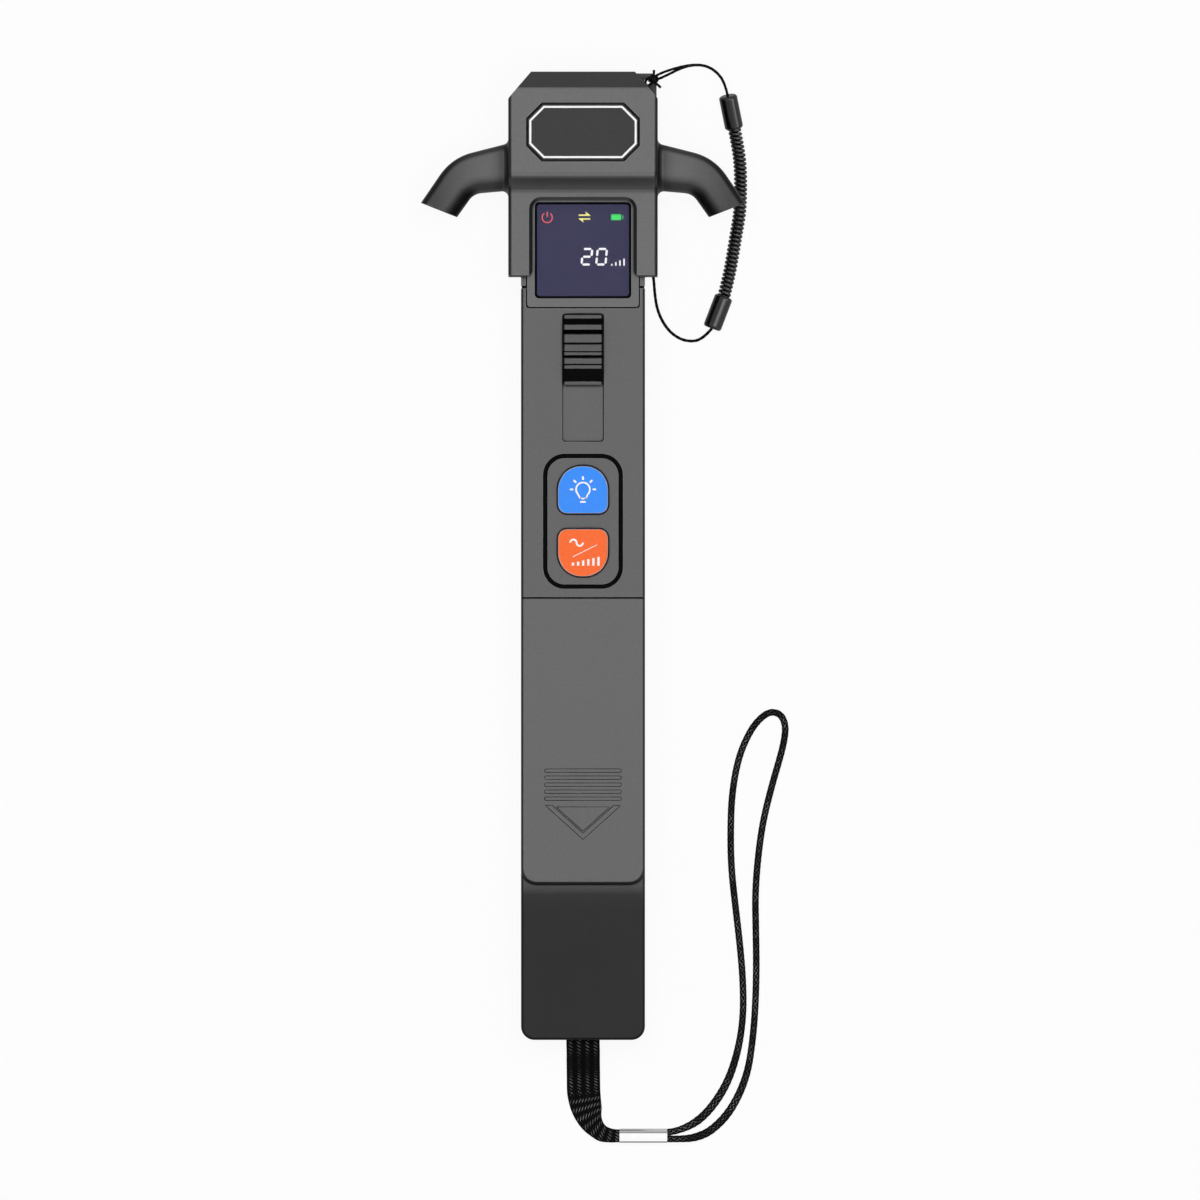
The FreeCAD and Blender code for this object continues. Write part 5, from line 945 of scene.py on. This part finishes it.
# Painted reflection and shade from the lower edge up over the fold.
sheen = ramp(tree, spread(tree, split(tree)["Y"], 0.0, 1.0, CRIMP_LOW, CRIMP_HIGH), CRIMP_SHEEN)
fill(tree, shader, {"Base Color": sheen, "Roughness": uneven(tree, 700.0, 0.07, 0.15), "Metallic": 1.0})
finish_node(crimp_metal, "strap_crimp")

# Wrist band: a flat strap woven from black nylon in slanted ribs. It is sewn round the pin in the tail, turns
# to the side on the table and is gathered into the crimp.
# Its paler flecks are painted sheen on the yarn tops that face up.
band_nylon = woven_nylon("band_nylon", (0.0025, 0.0025, 0.0027), (0.200, 0.200, 0.202), 300.0, 0.55)
# Each row is X, Y and Z, the heading and the dip in degrees, the width and the thickness.
BAND = [
    (0.00, -113.60, 7.50, 0, 0, 8.2, 1.5), (0.00, -117.10, 7.50, 0, 0, 8.2, 1.5),
    (0.00, -119.50, 7.40, 0, 8, 8.2, 1.5), (0.05, -121.60, 6.50, 0, 30, 8.2, 1.5),
    (0.05, -123.78, 4.60, 0, 42, 8.2, 1.5), (0.08, -126.10, 2.60, 0, 38, 8.2, 1.5),
    (0.10, -128.03, 1.50, 1, 24, 8.2, 1.5), (0.15, -131.09, 0.88, 4, 4, 8.2, 1.5),
    (0.40, -133.20, 0.82, 9, 0, 8.0, 1.5), (0.81, -135.09, 0.82, 16, 0, 7.65, 1.55),
    (1.50, -137.10, 0.87, 27, 0, 6.95, 1.65), (2.30, -138.96, 0.92, 40, 0, 5.8, 1.8),
    (3.37, -140.44, 1.02, 53, 0, 4.75, 2.0), (4.80, -141.68, 1.15, 66, 0, 4.1, 2.15),
    (6.73, -142.16, 1.30, 78, 0, 3.5, 2.3), (8.95, -142.24, 1.42, 88, 0, 3.15, 2.3),
    (12.0, -142.16, 1.45, 90, 0, 3.0, 2.2)]
ACROSS, WEAVE_STEP, RIBS = 68, 0.13, 4
ROW_PITCH, ROW_LEAST, YARN_PITCH, YARN_SLANT, SLANT_PITCH, SLANT = 1.9, 0.45, 0.83, 1.6, 0.78, 0.7
TURN_FROM, TURN_OVER, EDGE_POWER = 2, 8, 8
BAND_CORE, RIB_RISE, THREAD_RISE = 0.84, 0.09, 0.07


def between(before, start, end, after, share):
    """A value on the smooth line through four neighbours, between the middle two."""
    slope_in, slope_out = (end - before) / 2, (after - start) / 2
    rest = end - start
    return start + share * (slope_in + share * (3 * rest - 2 * slope_in - slope_out
                                                + share * (slope_in + slope_out - 2 * rest)))


def band_ring(x, y, z, heading, dip, width, thickness, travelled):
    """One section of the band, a flat oblong with ribs of slanted yarn, and its yarns' heights."""
    turn, fall = math.radians(heading), math.radians(dip)
    across = Vector((math.cos(turn), math.sin(turn), 0))
    along = Vector((math.sin(turn) * math.cos(fall), -math.cos(turn) * math.cos(fall), -math.sin(fall)))
    up = along.cross(across)
    turned = limited((heading - TURN_FROM) / TURN_OVER)
    rows = ROW_LEAST + (1 - ROW_LEAST) * math.sin(math.pi * travelled / ROW_PITCH) ** 2
    ring, heights = [], []
    for number in reversed(range(ACROSS * 2)):
        face = 1 if number < ACROSS else -1
        place = ((number % ACROSS) / (ACROSS - 1) * 2 - 1) * face
        edge = math.sqrt(max(0.0, 1 - abs(place) ** EDGE_POWER))
        column = (place + 1) / 2 * RIBS
        within = column - math.floor(column)
        rib = (1 - turned) * math.sin(math.pi * within) + turned * rows
        straight = math.cos(math.tau * (travelled / YARN_PITCH - within * YARN_SLANT))
        slanted = math.cos(math.tau * (place * width / 2 + travelled * SLANT) / SLANT_PITCH)
        thread = 0.5 + 0.5 * ((1 - turned) * straight + turned * slanted)
        heights.append(rib * thread)
        swell = BAND_CORE + RIB_RISE * rib + THREAD_RISE * rib * thread
        ring.append(Vector((x, y, z)) * MM + across * (place * width / 2 * MM)
                    + up * (face * thickness / 2 * edge * swell * MM))
    return ring, heights


rings, yarns = [], []
travelled = 0.0
for count in range(len(BAND) - 1):
    four = [BAND[min(max(count + step, 0), len(BAND) - 1)] for step in (-1, 0, 1, 2)]
    reach = (Vector(four[2][:3]) - Vector(four[1][:3])).length
    parts = max(2, round(reach / WEAVE_STEP))
    for part in range(parts + (count == len(BAND) - 2)):
        section = [between(*values, part / parts) for values in zip(*four)]
        ring, heights = band_ring(*section, travelled + reach * part / parts)
        rings.append(ring)
        yarns += heights
    travelled += reach
band = new_piece("wrist_band_weave", rings, band_nylon, yarns)
bpy.ops.object.select_all(action="DESELECT")
bpy.context.view_layer.objects.active = band
band.select_set(True)
edit_all()
bpy.ops.mesh.remove_doubles(threshold=0.000001)
bpy.ops.mesh.normals_make_consistent(inside=False)
bpy.ops.object.mode_set(mode="OBJECT")
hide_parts("wrist_band")
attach(band, "handle")

# Studio: a white table, one soft lamp overhead, three strip lamps that show only in gloss, a pale room round
# it and a long lens straight above.
WHITE = (1, 1, 1, 1)
ROOM_LIGHT, TABLE_SHADE = 0.2, 0.08


def seen_directly(tree):
    """1 for what the camera sees itself, or in a mirror or through glass."""
    path = put(tree, "ShaderNodeLightPath").outputs
    seen = math_node(tree, "MAXIMUM", path["Is Camera Ray"], path["Is Glossy Ray"])
    return math_node(tree, "MAXIMUM", seen, path["Is Transmission Ray"])


def choose(tree, unseen, seen, output):
    """Ends a tree in one shader for light that bounces and another for what is seen directly."""
    values = {0: seen_directly(tree), 1: unseen.outputs[0], 2: seen.outputs[0]}
    put(tree, output, {"Surface": put(tree, "ShaderNodeMixShader", values).outputs[0]})


world = bpy.data.worlds.new("pale_room")
bpy.context.scene.world = world
world.use_nodes = True
tree = world.node_tree
tree.nodes.clear()
choose(tree, put(tree, "ShaderNodeBackground", {"Color": WHITE, "Strength": ROOM_LIGHT}),
       put(tree, "ShaderNodeBackground", {"Color": WHITE, "Strength": 1.0}), "ShaderNodeOutputWorld")

bpy.ops.object.select_all(action="DESELECT")
bpy.ops.mesh.primitive_plane_add(size=30.0, location=(0, 0, -0.0001))
table = bpy.context.object
table.name = "table_top"
table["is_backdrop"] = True
table_white, tree, shader = new_material("table_white")
tree.nodes.clear()
lit_white = put(tree, "ShaderNodeEmission", {"Color": WHITE, "Strength": 1.0})
shaded = put(tree, "ShaderNodeBsdfDiffuse", {"Color": (0.9, 0.9, 0.9, 1)})
choose(tree, put(tree, "ShaderNodeBsdfDiffuse", {"Color": (0.25, 0.25, 0.25, 1)}),
       put(tree, "ShaderNodeMixShader", {0: TABLE_SHADE, 1: lit_white.outputs[0], 2: shaded.outputs[0]}),
       "ShaderNodeOutputMaterial")
table.data.materials.append(table_white)

for name, place, wide, long, watts, hidden in (
        ("overhead_softbox", (0.0, 0.1, 1.3), 0.8, 0.8, 13.0, ("glossy", "transmission")),
        ("right_strip", (0.75, 0.0, 1.0), 0.42, 1.4, 11.0, ("diffuse",)),
        ("left_strip", (-0.95, 0.0, 0.7), 0.22, 1.4, 4.0, ("diffuse",)),
        ("head_strip", (0.0, 0.95, 0.8), 1.2, 0.25, 1.2, ("diffuse",))):
    data = bpy.data.lights.new(name, "AREA")
    data.shape = "RECTANGLE"
    data.size, data.size_y = wide, long
    data.energy = watts
    lamp = bpy.data.objects.new(name, data)
    lamp.location = place
    lamp.rotation_euler = (Vector((0, 0, 0)) - Vector(place)).to_track_quat("-Z", "Y").to_euler()
    for ray in ("camera", *hidden):
        setattr(lamp, f"visible_{ray}", False)
    bpy.context.scene.collection.objects.link(lamp)

PHOTO_WIDTH, PHOTO_X, PHOTO_Y, PHOTO_Z, FAR = 0.294, 0.004165, -0.01078, 0.015, 10.0
camera_data = bpy.data.cameras.new("photo_camera")
camera_data.sensor_width = 36.0
camera_data.lens = camera_data.sensor_width * FAR / PHOTO_WIDTH
camera_data.clip_end = 100.0
camera = bpy.data.objects.new("photo_camera", camera_data)
camera.location = (PHOTO_X, PHOTO_Y, PHOTO_Z + FAR)
bpy.context.scene.collection.objects.link(camera)
bpy.context.scene.camera = camera
bpy.context.scene.view_settings.view_transform = "Standard"

# The model's box, round every shown piece but the table.
low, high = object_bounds()
